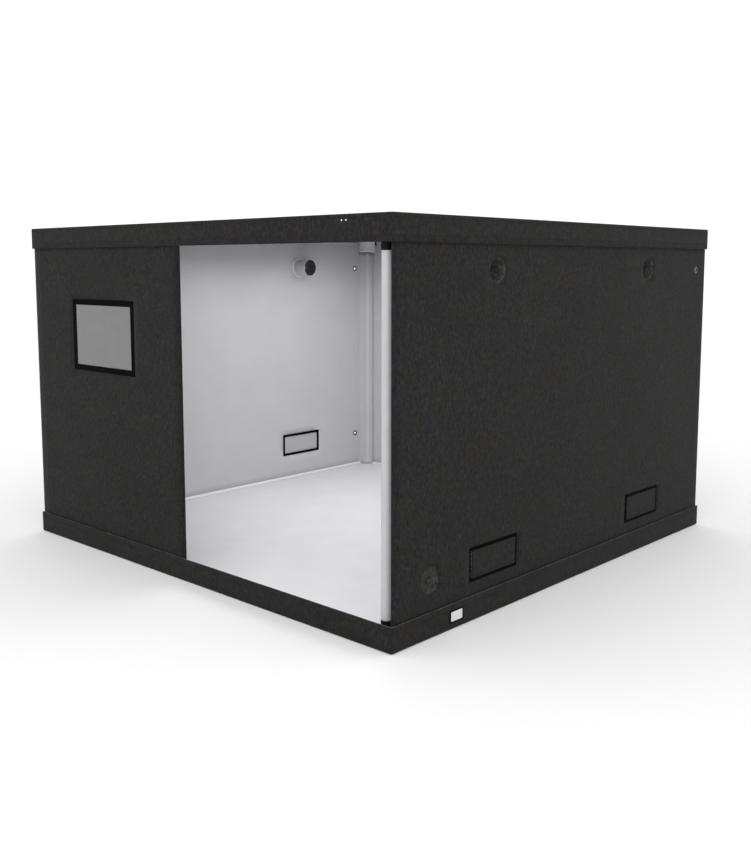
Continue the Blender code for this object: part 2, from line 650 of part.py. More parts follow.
def build_door():
    """The door, folded back against the inside of the front wall.

    It is modelled in its own frame: the hinge axis is local Z, local +X runs to the free edge and
    local -Y is the door's outer face.
    """
    angle = door_angles()[1]
    axis = bpy.data.objects.new("door_axis", None)
    PIECES.objects.link(axis)
    axis.location = (DOOR_AXIS_X, DOOR_AXIS_Y, 0)
    axis.rotation_euler = (0, 0, angle)
    bpy.context.view_layer.update()
    place = axis.matrix_world.copy()
    low = (DOOR_START, DOOR_OUTER, DOOR_LOW)
    panel = box("door_panel", low, (DOOR_REACH, DOOR_INNER, DOOR_HIGH), "charcoal_canvas", place)
    low = (TAPE_END - TAPE_WIDTH, TAPE_OUTER, DOOR_LOW)
    tape = box("door_zip_tape", low, (TAPE_END, TAPE_INNER, DOOR_HIGH), "black_binding", place)
    slider, pull = build_slider(place)
    for item in (panel, tape, slider, pull):
        item.parent = axis
        item.matrix_parent_inverse = axis.matrix_world.inverted()
    height = DOOR_HIGH - DOOR_LOW
    profile = [(0, height), (PIPING_RADIUS, height), (PIPING_RADIUS, 0), (0, 0)]
    foot = Matrix.Translation((DOOR_AXIS_X, DOOR_AXIS_Y, DOOR_LOW))
    turned("door_hinge_piping", profile, "charcoal_canvas", foot, THIN_STEPS, closed=False)
    x = INNER_X - GAP
    near = -POST_Y + JAMB_TAPE_SETBACK
    low = (x - TAPE_CLOTH, near, DOOR_LOW)
    box("jamb_zip_tape", low, (x, near + JAMB_TAPE_WIDTH, DOOR_HIGH), "black_binding")


def build_slider(place):
    """The zip's slider astride the tape's free edge, with its pull hanging from the lug."""
    outer = TAPE_OUTER - GAP - SLIDER_PLATE
    inner = TAPE_INNER + GAP + SLIDER_PLATE
    left = DOOR_REACH + GAP
    right = TAPE_END + GAP + TAPE_CLOTH
    bottom = DOOR_LOW + SLIDER_START
    top = bottom + SLIDER_HEIGHT
    slider = box("zip_slider", (left, outer, bottom), (right, inner, top), "zip_metal", place)
    slot_low = (left - SLIDER_PLATE, TAPE_OUTER - GAP, bottom - SLIDER_PLATE)
    slot_high = (TAPE_END + GAP, TAPE_INNER + GAP, top + SLIDER_PLATE)
    cut(slider, box_guide("slider_slot", slot_low, slot_high, place))
    middle_x = (left + right) / 2
    middle_z = (bottom + top) / 2
    low = (middle_x - LUG_WIDTH / 2, outer - LUG_REACH, middle_z - LUG_HEIGHT / 2)
    high = (middle_x + LUG_WIDTH / 2, outer + SLIDER_PLATE / 2, middle_z + LUG_HEIGHT / 2)
    join(slider, box_guide("slider_lug", low, high, place))
    pin_y = outer - LUG_REACH / 2
    hole = place @ pointing((middle_x, pin_y, middle_z), (1, 0, 0))
    cut(slider, rod_guide("slider_lug_hole", LUG_HOLE, LUG_WIDTH * 3, hole, SMALL_HOLE_STEPS))
    half = PULL_THICKNESS / 2
    pin = place @ Matrix.Translation((middle_x, pin_y, middle_z))
    low = (-PULL_WIDTH / 2, -half, half - PULL_LENGTH)
    pull = box("zip_pull", low, (PULL_WIDTH / 2, half, half), "zip_metal", pin)
    window_x = LUG_WIDTH / 2 + GAP
    window_low = (-window_x, -PULL_THICKNESS, -half - LUG_HEIGHT)
    cut(pull, box_guide("pull_window", window_low, (window_x, PULL_THICKNESS, -half), pin))
    return slider, pull


build_corners()
build_rails()
build_roof_bar()
build_edge_rods()
build_roof_and_base()
build_walls()
build_patch()
build_door()
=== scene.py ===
# %% [markdown]
# # A canvas enclosure tent on a frame of steel tube
#
# The real thing is sewn from one cloth: a coarse woven polyester, charcoal outside, with a white film
# laminated to its inside.  A roof cap and a base tray close over four walls.  Everything here is built
# round a fixed frame of measured solids, so each place below is read from that frame and never guessed.

# %% Load the frame
import json
import math
import random

import bmesh
import bpy
from mathutils import Matrix, Vector


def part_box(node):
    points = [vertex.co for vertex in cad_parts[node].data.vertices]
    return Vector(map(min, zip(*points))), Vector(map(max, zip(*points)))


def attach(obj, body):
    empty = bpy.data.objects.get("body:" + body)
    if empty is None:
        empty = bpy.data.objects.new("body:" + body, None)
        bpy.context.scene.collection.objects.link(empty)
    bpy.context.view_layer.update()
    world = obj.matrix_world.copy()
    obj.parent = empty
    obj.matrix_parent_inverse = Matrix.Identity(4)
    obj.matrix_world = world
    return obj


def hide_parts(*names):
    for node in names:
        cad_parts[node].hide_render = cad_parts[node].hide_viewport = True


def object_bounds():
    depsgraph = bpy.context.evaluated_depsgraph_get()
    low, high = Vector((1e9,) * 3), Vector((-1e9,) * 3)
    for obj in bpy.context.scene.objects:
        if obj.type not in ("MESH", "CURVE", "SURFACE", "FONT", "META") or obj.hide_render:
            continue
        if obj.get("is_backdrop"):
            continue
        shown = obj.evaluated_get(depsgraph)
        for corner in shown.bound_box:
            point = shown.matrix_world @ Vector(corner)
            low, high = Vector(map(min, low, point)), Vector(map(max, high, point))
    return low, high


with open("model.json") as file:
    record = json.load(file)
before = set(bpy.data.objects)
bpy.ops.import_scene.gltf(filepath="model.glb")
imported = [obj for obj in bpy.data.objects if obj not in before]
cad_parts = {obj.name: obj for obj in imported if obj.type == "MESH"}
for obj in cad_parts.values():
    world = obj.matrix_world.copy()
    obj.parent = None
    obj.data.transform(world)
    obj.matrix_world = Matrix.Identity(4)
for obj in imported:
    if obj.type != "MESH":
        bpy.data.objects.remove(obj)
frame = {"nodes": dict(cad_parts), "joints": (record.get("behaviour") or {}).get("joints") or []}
CAD_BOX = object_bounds()

# %% [markdown]
# ## Small tools
#
# A piece is a mesh with its place already in its points, so its object stays at the origin, unturned.
# That keeps patterns that read Object coordinates fixed to the cloth.

# %% Units, colours and pieces
MM = 0.001
BODY = "tent"


def paint(code):
    """An sRGB hex colour as the linear numbers that a shader takes."""
    parts = [int(code[i:i + 2], 16) / 255 for i in (1, 3, 5)]
    return [p / 12.92 if p <= 0.04045 else ((p + 0.055) / 1.055) ** 2.4 for p in parts] + [1.0]


def add(tree, kind, inputs=(), **settings):
    """A node with its settings, and its inputs linked or set by name or number."""
    made = tree.nodes.new(kind)
    for key, value in settings.items():
        setattr(made, key, value)
    for key, value in dict(inputs).items():
        if isinstance(value, bpy.types.Node):
            value = value.outputs[0]
        if isinstance(value, bpy.types.NodeSocket):
            tree.links.new(value, made.inputs[key])
        else:
            made.inputs[key].default_value = value
    return made


def piece(name, mesh, finishes=(), body=BODY, replaces=()):
    """Puts a finished mesh on the body that it rides with."""
    for finish in finishes:
        mesh.materials.append(finish)
    item = bpy.data.objects.new(name, mesh)
    bpy.context.scene.collection.objects.link(item)
    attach(item, body)
    if replaces:
        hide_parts(*replaces)
    return item


def as_mesh(name, shape, smooth=35):
    """A bmesh as a mesh, smooth except where its faces meet more sharply than that many degrees."""
    mesh = bpy.data.meshes.new(name)
    shape.to_mesh(mesh)
    shape.free()
    mesh.shade_smooth()
    mesh.set_sharp_from_angle(angle=math.radians(smooth))
    return mesh


def middle(node):
    low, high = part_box(node)
    return (low + high) / 2


# %% [markdown]
# ## Floor, light and camera
#
# A plain white studio: an even sky so that no side of a dark tent goes black, one large soft lamp in
# front for direction, and a lamp under the roof, because a closed tent with one open door is dark inside.

# %% Stage
CAMERA_PLACE = Vector((1.5622, -1.6801, 0.6208))
CAMERA_TURN = 42.918  # degrees to the left of +Y
CAMERA_DIP = 6.701  # degrees below level
CAMERA_LENS = 41.20
CAMERA_SHIFT = (0.0019, -0.0600)
SKY_STRENGTH = 1.1


def lamp(name, place, target, size, watts, spread=math.pi):
    """A soft square lamp that looks at `target` and can't itself be seen."""
    light = bpy.data.lights.new(name, "AREA")
    light.size = size
    light.energy = watts
    light.spread = spread
    item = bpy.data.objects.new(name, light)
    item.location = place
    item.rotation_euler = (Vector(target) - Vector(place)).to_track_quat("-Z", "Y").to_euler()
    item.visible_camera = False
    bpy.context.scene.collection.objects.link(item)


def build_stage():
    scene = bpy.context.scene
    scene.view_settings.view_transform = "Standard"
    view = bpy.data.cameras.new("view")
    view.lens = CAMERA_LENS
    view.shift_x, view.shift_y = CAMERA_SHIFT
    camera = bpy.data.objects.new("view", view)
    camera.location = CAMERA_PLACE
    camera.rotation_euler = (math.radians(90 - CAMERA_DIP), 0, math.radians(CAMERA_TURN))
    scene.collection.objects.link(camera)
    scene.camera = camera
    world = bpy.data.worlds.new("studio")
    world.use_nodes = True
    world.node_tree.nodes["Background"].inputs["Color"].default_value = paint("#FFFFFF")
    world.node_tree.nodes["Background"].inputs["Strength"].default_value = SKY_STRENGTH
    scene.world = world
    shape = bmesh.new()
    bmesh.ops.create_grid(shape, x_segments=1, y_segments=1, size=30)
    floor = bpy.data.objects.new("floor", as_mesh("floor", shape))
    floor.location.z = -0.5 * MM
    white = bpy.data.materials.new("pale_floor")
    white.use_nodes = True
    white.node_tree.nodes["Principled BSDF"].inputs["Base Color"].default_value = paint("#F4F4F4")
    white.node_tree.nodes["Principled BSDF"].inputs["Roughness"].default_value = 0.9
    floor.data.materials.append(white)
    scene.collection.objects.link(floor)
    floor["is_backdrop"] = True
    lamp("front_lamp", (1.9, -2.6, 2.3), (0, 0, 0.3), 2.6, 28)
    lamp("under_roof", (-0.10, 0.10, 0.662), (-0.10, 0.10, 0), 0.64, 2.7, 2.9)


build_stage()
print("camera at", tuple(round(c, 3) for c in CAMERA_PLACE))

# %% [markdown]
# ## Finishes
#
# Each finish starts from what the real one is.  Every pattern is given in millimetres and divided into
# one metre, because Object coordinates are metres.

# %% One finish with its shader
def finish(name, colour, roughness, **sockets):
    """A material with its shader's constant sockets set; returns it with its tree, shader and places."""
    made = bpy.data.materials.new(name)
    made.use_nodes = True
    tree = made.node_tree
    shader = tree.nodes["Principled BSDF"]
    shader.inputs["Base Color"].default_value = paint(colour)
    shader.inputs["Roughness"].default_value = roughness
    for key, value in sockets.items():
        shader.inputs[key.replace("_", " ")].default_value = value
    return made, tree, shader, add(tree, "ShaderNodeTexCoord").outputs["Object"]


def per_metre(millimetres):
    """The Scale of a pattern whose grain is that many millimetres across."""
    return 1 / (millimetres * MM)


def thread_grid(tree, where, pitch):
    """0 to 1 over a plain weave whose threads are `pitch` mm apart, whichever way the cloth faces."""
    split = add(tree, "ShaderNodeSeparateXYZ", {0: where})
    side = add(tree, "ShaderNodeMath", {0: split.outputs[0], 1: split.outputs[1]}, operation="ADD")
    cross = add(tree, "ShaderNodeMath", {0: split.outputs[0], 1: split.outputs[1]}, operation="SUBTRACT")
    rise = add(tree, "ShaderNodeMath", {0: split.outputs[2], 1: cross}, operation="ADD")
    waves = []
    for run in (side, rise):
        angle = add(tree, "ShaderNodeMath", {0: run, 1: math.tau * per_metre(pitch)}, operation="MULTIPLY")
        waves.append(add(tree, "ShaderNodeMath", {0: angle}, operation="SINE"))
    both = add(tree, "ShaderNodeMath", {0: waves[0], 1: waves[1]}, operation="MULTIPLY")
    return add(tree, "ShaderNodeMath", {0: both, 1: 0.5, 2: 0.5}, operation="MULTIPLY_ADD")


def relief(tree, shader, height, strength, depth, pattern=None, smooth=0.0, rough=1.0):
    """Bumps `depth` mm deep and, where a pattern is given, a roughness that follows it."""
    bump = add(tree, "ShaderNodeBump", {"Height": height, "Strength": strength, "Distance": depth * MM})
    tree.links.new(bump.outputs[0], shader.inputs["Normal"])
    if pattern is not None:
        span = add(tree, "ShaderNodeMapRange", {0: pattern, 3: smooth, 4: rough})
        tree.links.new(span.outputs[0], shader.inputs["Roughness"])


def mottled(tree, shader, colour, pattern, spread):
    """A colour that a pattern darkens and lightens by up to `spread`."""
    value = add(tree, "ShaderNodeMapRange", {0: pattern, 1: 0.3, 2: 0.7, 3: 1 - spread, 4: 1 + spread})
    tone = add(tree, "ShaderNodeHueSaturation", {"Color": paint(colour), "Value": value})
    tree.links.new(tone.outputs[0], shader.inputs["Base Color"])


# %% [markdown]
# ### Charcoal canvas
#
# Polyester Oxford cloth, 600 denier, piece-dyed and laminated.  Thick and thin threads (slubs) make fine
# upright streaks, and the dye takes unevenly, so the charcoal drifts between violet, green and brown.
# The real threads are about 0.5 mm; the weave is drawn at 1.4 mm so that it can be seen at all.

# %% Charcoal canvas
def charcoal_canvas(name, lift=1.0):
    made, tree, shader, where = finish(name, "#1E1D1D", 0.88, Sheen_Weight=0.02, Specular_IOR_Level=0.2)
    upright = add(tree, "ShaderNodeMapping", {"Vector": where, "Scale": (1, 1, 0.55)})
    slubs = add(tree, "ShaderNodeTexNoise", {"Vector": upright, "Scale": per_metre(4), "Detail": 4})
    specks = add(tree, "ShaderNodeTexNoise", {"Vector": where, "Scale": per_metre(6), "Detail": 3})
    dye = add(tree, "ShaderNodeTexNoise", {"Vector": upright, "Scale": per_metre(26), "Detail": 2})
    drift = add(tree, "ShaderNodeTexNoise", {"Vector": where, "Scale": per_metre(160), "Detail": 2})
    tints = add(tree, "ShaderNodeValToRGB", {0: dye})
    ramp = tints.color_ramp
    ramp.elements[0].position, ramp.elements[0].color = 0.34, paint("#1E1B1E")
    ramp.elements[1].position, ramp.elements[1].color = 0.66, paint("#1F1C1A")
    green = ramp.elements.new(0.5)
    green.color = paint("#1A1C1A")
    # A lift above 1 makes a lighter copy of this canvas, which is painted light: lit edges and lit insides
    # of sleeves.
    thick = add(tree, "ShaderNodeMapRange", {0: slubs, 1: 0.3, 2: 0.7, 3: 0.42 * lift, 4: 1.58 * lift})
    patchy = add(tree, "ShaderNodeMapRange", {0: specks, 1: 0.3, 2: 0.7, 3: 0.66, 4: 1.34})
    broad = add(tree, "ShaderNodeMapRange", {0: drift, 1: 0.3, 2: 0.7, 3: 0.94, 4: 1.06})
    once = add(tree, "ShaderNodeMath", {0: thick, 1: patchy}, operation="MULTIPLY")
    shade = add(tree, "ShaderNodeMath", {0: once, 1: broad}, operation="MULTIPLY")
    cloth = add(tree, "ShaderNodeHueSaturation", {"Color": tints.outputs[0], "Value": shade})
    tree.links.new(cloth.outputs[0], shader.inputs["Base Color"])
    weave = thread_grid(tree, where, 1.4)
    height = add(tree, "ShaderNodeMath", {0: slubs, 1: 0.8, 2: weave}, operation="MULTIPLY_ADD")
    relief(tree, shader, height, 0.35, 0.25, slubs, 0.80, 0.92)
    return made


CANVAS = charcoal_canvas("charcoal_oxford_canvas")
# Painted highlight: the laminate's cut edges are drawn 1.3 times lighter than the canvas, as if they caught
# the light.
CANVAS_EDGE_HIGHLIGHT = charcoal_canvas("charcoal_canvas_cut_edge", 1.3)
SLEEVE_CANVAS_LIT = charcoal_canvas("charcoal_canvas_thin", 4.2)  # painted light: a lighter copy of the canvas for the inside of the open sleeves
# Painted light: a lighter copy of the canvas for the shut sleeve's gathers and button.
GATHERED_CANVAS_LIT = charcoal_canvas("charcoal_canvas_gathered", 2.8)
SKIRT_RIM_HIGHLIGHT = charcoal_canvas("laminate_raw_edge", 8.0)  # painted highlight: the light line along the top of the base's skirt
print("canvas finishes:", CANVAS.name, CANVAS_EDGE_HIGHLIGHT.name)

# %% [markdown]
# ### White film, net and sewing tape
#
# The lining is a thin white polyethylene film over a scrim: smooth, softly glossy, and not quite even.
# The tapes are woven black polyester with a rib across them; the net is a white monofilament.

# %% White film and tapes
def white_film(name, colour, roughness, scrim):
    made, tree, shader, where = finish(name, colour, roughness, Coat_Weight=0.08, Coat_Roughness=0.35)
    clouds = add(tree, "ShaderNodeTexNoise", {"Vector": where, "Scale": per_metre(90), "Detail": 3})
    mottled(tree, shader, colour, clouds, 0.025)
    creases = add(tree, "ShaderNodeTexNoise", {"Vector": where, "Scale": per_metre(14), "Detail": 4})
    grid = thread_grid(tree, where, scrim)
    height = add(tree, "ShaderNodeMath", {0: grid, 1: 0.25, 2: creases}, operation="MULTIPLY_ADD")
    relief(tree, shader, height, 0.12, 0.4, clouds, roughness - 0.06, roughness + 0.06)
    return made


def woven_tape(name, colour, rib, fleck=0.2):
    made, tree, shader, where = finish(name, colour, 0.88, Specular_IOR_Level=0.06)
    weave = thread_grid(tree, where, rib)
    fuzz = add(tree, "ShaderNodeTexNoise", {"Vector": where, "Scale": per_metre(2), "Detail": 3})
    height = add(tree, "ShaderNodeMath", {0: fuzz, 1: 0.5, 2: weave}, operation="MULTIPLY_ADD")
    relief(tree, shader, height, 0.5, 0.25)
    mottled(tree, shader, colour, fuzz, fleck)
    return made


# One white film in three brightnesses, which is painted light: the walls' lining is darkest, the floor
# lighter for its greater light from above, and the hem lightest, a painted highlight.
LINING = white_film("white_film_lining", "#D0D0D2", 0.50, 5)
FLOOR_FILM_LIT = white_film("white_floor_film", "#F0EFF1", 0.46, 5)
HEM_FILM_HIGHLIGHT = white_film("white_hem_film", "#FAFAFB", 0.35, 3)
NET = woven_tape("white_polyester_net", "#DCDCDD", 0.8)
TAPE = woven_tape("black_polyester_tape", "#030303", 1.6)
THREAD = woven_tape("charcoal_thread", "#2A2929", 0.7)
BLACK_THREAD = woven_tape("black_thread", "#0C0C0C", 0.7)
WHITE_THREAD = woven_tape("white_thread", "#D8D8D9", 0.7)
LABEL = woven_tape("white_satin_label", "#D6D6D8", 0.9, 0.03)
print("films and tapes ready")

# %% [markdown]
# ### Hard finishes
#
# The tubes are steel with a white powder coat, whose surface is a fine orange peel.  Corners, feet and
# clips are injection-moulded black nylon.  The window is grey-tinted soft PVC, and the zip's slider and
# the eyelets are die-cast or pressed metal under black enamel.

# %% Coated steel, nylon, vinyl and enamel
def grained(name, colour, roughness, grain, strength, **sockets):
    """A hard finish whose skin has a fine grain, with roughness that drifts a little."""
    made, tree, shader, where = finish(name, colour, roughness, **sockets)
    peel = add(tree, "ShaderNodeTexNoise", {"Vector": where, "Scale": per_metre(grain), "Detail": 2})
    wear = add(tree, "ShaderNodeTexNoise", {"Vector": where, "Scale": per_metre(25), "Detail": 4})
    relief(tree, shader, peel, strength, 0.15, wear, roughness - 0.07, roughness + 0.07)
    mottled(tree, shader, colour, wear, 0.03)
    return made


POWDER_COAT = grained("white_powder_coated_steel", "#B2B2B5", 0.38, 1.2, 0.10, IOR=1.5)
NYLON = grained("moulded_black_nylon", "#040404", 0.58, 0.8, 0.25, IOR=1.53, Specular_IOR_Level=0.12)
VINYL = grained("grey_tinted_vinyl", "#7A7A7B", 0.22, 30, 0.10, IOR=1.53, Transmission_Weight=0.25)
ENAMEL = grained("black_enamelled_zinc", "#101010", 0.30, 1.5, 0.08, IOR=1.5, Coat_Weight=0.5)
COIL = grained("black_nylon_coil", "#0D0D0D", 0.45, 0.6, 0.15, IOR=1.53)
STUD = grained("nickel_snap_stud", "#F0F0F0", 0.25, 1.0, 0.05, Metallic=1.0)
print("hard finishes ready")

# %% [markdown]
# ## Cloth
#
# A run of cloth is a grid of small faces, so that it can ripple, with true holes.  Cut lines pass along
# every edge of a square hole.  Round a circle, one square ring of the grid is moved onto the circle and
# the faces inside it are left out, which gives a clean round edge without a boolean.

# %% Cut lines and ripples
CELL = 22 * MM
HOLE_MARGIN = 7 * MM


def lines(low, high, marks=(), step=CELL):
    """Cut lines from low to high, about a step apart, that also pass through the marks."""
    stops = sorted({low, high} | {m for m in marks if low < m < high})
    cuts = [stops[0]]
    for a, b in zip(stops, stops[1:]):
        parts = max(1, round((b - a) / step))
        cuts += [a + (b - a) * i / parts for i in range(1, parts)] + [b]
    return cuts


def eased(share):
    share = min(max(share, 0.0), 1.0)
    return share * share * (3 - 2 * share)


def ripple(seed, size, wavelength):
    """The uneven surface of cloth under light tension: a few crossed waves, `size` deep."""
    dice = random.Random(seed)
    waves = [[dice.uniform(0, math.tau), dice.uniform(0.6, 1.5) * wavelength, dice.uniform(0, math.tau)]
             for _ in range(6)]

    def height(u, v):
        total = 0.0
        for heading, length, phase in waves:
            total += math.sin((u * math.cos(heading) + v * math.sin(heading)) * math.tau / length + phase)
        return size * total / 6
    return height


print("a ripple is", round(ripple(1, 1.0, 1.0)(0.2, 0.3), 3), "of its depth at a sample point")

# %% [markdown]
# A run knows its own grid and its holes.  Its `soft` function says how far the cloth stands off the flat.

# %% A run of cloth
class Run:
    """A run of cloth: u runs across it, v up it, and it faces out = across x up."""

    def __init__(self, origin, across, up, width, height, soft=None, squares=(), rounds=(), marks=((), ())):
        self.origin, self.across, self.up = Vector(origin), Vector(across), Vector(up)
        self.out = self.across.cross(self.up)
        self.width, self.height, self.soft = width, height, soft
        self.squares, self.rounds = squares, rounds
        across_marks, up_marks = list(marks[0]), list(marks[1])
        for u0, v0, u1, v1 in squares:
            across_marks += [u0, u1]
            up_marks += [v0, v1]
        for u, v, radius, parts in rounds:
            half = radius + HOLE_MARGIN
            across_marks += [u + half * (2 * k / parts - 1) for k in range(parts + 1)]
            up_marks += [v + half * (2 * k / parts - 1) for k in range(parts + 1)]
        self.us = lines(0, width, across_marks)
        self.vs = lines(0, height, up_marks)

    def calm(self, u, v, reach=0.07):
        """0 at the run's edges and holes, and 1 well away from them."""
        near = [u, v, self.width - u, self.height - v]
        for u0, v0, u1, v1 in self.squares:
            near.append(math.hypot(max(u0 - u, u - u1, 0), max(v0 - v, v - v1, 0)))
        for cu, cv, radius, _ in self.rounds:
            near.append(math.hypot(u - cu, v - cv) - radius - HOLE_MARGIN)
        return eased(min(near) / reach)

    def at(self, u, v, lift=0.0):
        rise = self.soft(self, u, v) if self.soft else 0.0
        return self.origin + self.across * u + self.up * v + self.out * (rise + lift)

    def in_square(self, u, v):
        return any(u0 < u < u1 and v0 < v < v1 for u0, v0, u1, v1 in self.squares)

    def ring_place(self, u, v):
        """Where a grid corner goes, and whether it is inside a hole."""
        if self.in_square(u, v):
            return u, v, True
        for cu, cv, radius, parts in self.rounds:
            du, dv = u - cu, v - cv
            far = max(abs(du), abs(dv))
            cell = 2 * (radius + HOLE_MARGIN) / parts
            ring = round(far / cell)
            if ring < parts // 2 - 1:
                return u, v, True
            if ring == parts // 2 - 1:
                if abs(du) >= abs(dv):
                    turn = (math.pi / 4) * dv / abs(du)
                    turn = turn if du > 0 else math.pi - turn
                else:
                    turn = math.pi / 2 - (math.pi / 4) * du / abs(dv)
                    turn = turn if dv > 0 else -turn
                return cu + radius * math.cos(turn), cv + radius * math.sin(turn), False
        return u, v, False

    def weave(self, shape):
        """Adds the run's faces to a bmesh."""
        corners = {}
        for i, u in enumerate(self.us):
            for j, v in enumerate(self.vs):
                pu, pv, inside = self.ring_place(u, v)
                if not inside:
                    corners[i, j] = shape.verts.new(self.at(pu, pv))
        for i in range(len(self.us) - 1):
            for j in range(len(self.vs) - 1):
                ring = [(i, j), (i + 1, j), (i + 1, j + 1), (i, j + 1)]
                mid_u = (self.us[i] + self.us[i + 1]) / 2
                mid_v = (self.vs[j] + self.vs[j + 1]) / 2
                if all(k in corners for k in ring) and not self.hollow(mid_u, mid_v):
                    shape.faces.new([corners[k] for k in ring])

    def hollow(self, u, v):
        """Whether the middle of a face lies inside a hole."""
        if self.in_square(u, v):
            return True
        for cu, cv, radius, parts in self.rounds:
            edge = 2 * (radius + HOLE_MARGIN) / parts * (parts // 2 - 1)
            if max(abs(u - cu), abs(v - cv)) < edge:
                return True
        return False


def cloth_mesh(name, runs, rounded=0.0, smooth=50):
    """The runs sewn into one sheet, with the edges between them rounded."""
    shape = bmesh.new()
    for run in runs:
        run.weave(shape)
    bmesh.ops.remove_doubles(shape, verts=shape.verts, dist=0.02 * MM)
    if rounded:
        sharp = [e for e in shape.edges if len(e.link_faces) == 2 and e.calc_face_angle() > 1.2]
        bmesh.ops.bevel(shape, geom=sharp, offset=rounded, segments=3, affect="EDGES", profile=0.5)
    return as_mesh(name, shape, smooth)


def thicken(item, thickness):
    """Gives the sheet its thickness: finish 0 outside, finish 1 inside, finish 2 on the cut edge."""
    cloth = item.modifiers.new("Cloth", "SOLIDIFY")
    cloth.thickness = thickness
    cloth.offset = -1
    cloth.use_even_offset = True
    cloth.material_offset = 1
    cloth.material_offset_rim = 2


LAMINATE = (CANVAS, LINING, CANVAS_EDGE_HIGHLIGHT)
print("cloth tools ready")

# %% [markdown]
# ## Stitches
#
# A seam is a path with the direction that its cloth faces.  One Geometry Nodes tree walks each path and
# lays a small arched stitch every few millimetres, the way a machine does.  The paths are gathered while
# the pieces are made, and sewn at the end as one mesh for each body and thread.

# %% Stitch tree
STITCH_PITCH = 5.5 * MM
STITCH_LENGTH = 3.6 * MM
THREAD_RADIUS = 0.30 * MM
SEAMS = {}


def new_tree(name, sockets):
    """An empty Geometry Nodes tree with named inputs."""
    tree = bpy.data.node_groups.new(name, "GeometryNodeTree")
    tree.interface.new_socket(name="Geometry", in_out="INPUT", socket_type="NodeSocketGeometry")
    for label, kind in sockets.items():
        tree.interface.new_socket(name=label, in_out="INPUT", socket_type="NodeSocket" + kind)
    tree.interface.new_socket(name="Geometry", in_out="OUTPUT", socket_type="NodeSocketGeometry")
    return tree, add(tree, "NodeGroupInput").outputs


def end_tree(tree, instances, material):
    """Realises the instances, gives them their material and closes the tree."""
    real = add(tree, "GeometryNodeRealizeInstances", {0: instances})
    dressed = add(tree, "GeometryNodeSetMaterial", {"Geometry": real, "Material": material})
    add(tree, "NodeGroupOutput", {0: dressed})


def grown(name, base, tree, values):
    """The plain mesh that a tree makes from a base mesh."""
    item = bpy.data.objects.new(name, base)
    bpy.context.scene.collection.objects.link(item)
    step = item.modifiers.new("Grow", "NODES")
    step.node_group = tree
    for socket in tree.interface.items_tree:
        if socket.in_out == "INPUT" and socket.name in values:
            step[socket.identifier] = values[socket.name]
    graph = bpy.context.evaluated_depsgraph_get()
    mesh = bpy.data.meshes.new_from_object(item.evaluated_get(graph))
    bpy.data.objects.remove(item)
    mesh.name = name
    return mesh


def stitch_tree():
    tree, given = new_tree("stitches", {"Pitch": "Float", "Length": "Float", "Thread": "Float",
                                        "Material": "Material"})
    path = add(tree, "GeometryNodeMeshToCurve", {"Mesh": given["Geometry"]})
    spaced = add(tree, "GeometryNodeResampleCurve", {"Curve": path, "Length": given["Pitch"]},
                 mode="LENGTH")
    half = add(tree, "ShaderNodeMath", {0: given["Length"], 1: 0.5}, operation="MULTIPLY")
    back = add(tree, "ShaderNodeMath", {0: half, 1: -1.0}, operation="MULTIPLY")
    top = add(tree, "ShaderNodeMath", {0: given["Thread"], 1: 2.0}, operation="MULTIPLY")
    start = add(tree, "ShaderNodeCombineXYZ", {0: back})
    crest = add(tree, "ShaderNodeCombineXYZ", {2: top})
    finish_point = add(tree, "ShaderNodeCombineXYZ", {0: half})
    arch = add(tree, "GeometryNodeCurveQuadraticBezier",
               {"Resolution": 4, "Start": start, "Middle": crest, "End": finish_point})
    ring = add(tree, "GeometryNodeCurvePrimitiveCircle", {"Resolution": 5, "Radius": given["Thread"]})
    stitch = add(tree, "GeometryNodeCurveToMesh",
                 {"Curve": arch, "Profile Curve": ring, "Fill Caps": True})
    along = add(tree, "GeometryNodeInputTangent")
    facing = add(tree, "GeometryNodeInputNamedAttribute", {"Name": "out"}, data_type="FLOAT_VECTOR")
    turn = add(tree, "FunctionNodeAlignRotationToVector", {"Vector": along}, axis="X")
    turn = add(tree, "FunctionNodeAlignRotationToVector", {"Rotation": turn, "Vector": facing},
               axis="Z", pivot_axis="X")
    laid = add(tree, "GeometryNodeInstanceOnPoints",
               {"Points": spaced, "Instance": stitch, "Rotation": turn})
    end_tree(tree, laid, given["Material"])
    return tree


def seam(points, out, body=BODY, thread=THREAD):
    """Remembers a line of stitches through the points, on cloth that faces `out`."""
    SEAMS.setdefault((body, thread.name), []).append(([Vector(p) for p in points], Vector(out)))


def run_seam(run, start, end, body=BODY, thread=THREAD, steps=40):
    """A straight line of stitches on a run, which follows its ripples."""
    points = []
    for i in range(steps + 1):
        share = i / steps
        u, v = (a + (b - a) * share for a, b in zip(start, end))
        points.append(run.at(u, v))
    seam(points, run.out, body, thread)


def sew_all():
    """One mesh of stitches for each body and thread."""
    tree = stitch_tree()
    made = []
    for (body, thread), paths in sorted(SEAMS.items()):
        mesh = bpy.data.meshes.new("path")
        points, edges, facing = [], [], []
        for line, out in paths:
            edges += [(len(points) + i, len(points) + i + 1) for i in range(len(line) - 1)]
            points += [tuple(p) for p in line]
            facing += [tuple(out)] * len(line)
        mesh.from_pydata(points, edges, [])
        store = mesh.attributes.new("out", "FLOAT_VECTOR", "POINT")
        for i, out in enumerate(facing):
            store.data[i].vector = out
        values = {"Pitch": STITCH_PITCH, "Length": STITCH_LENGTH, "Thread": THREAD_RADIUS,
                  "Material": bpy.data.materials[thread]}
        sewn = grown(f"stitches_{thread}_{body}", mesh, tree, values)
        sewn.shade_smooth()
        made.append((piece(sewn.name, sewn, body=body), len(sewn.polygons)))
    return made


print("stitches every", STITCH_PITCH / MM, "mm")

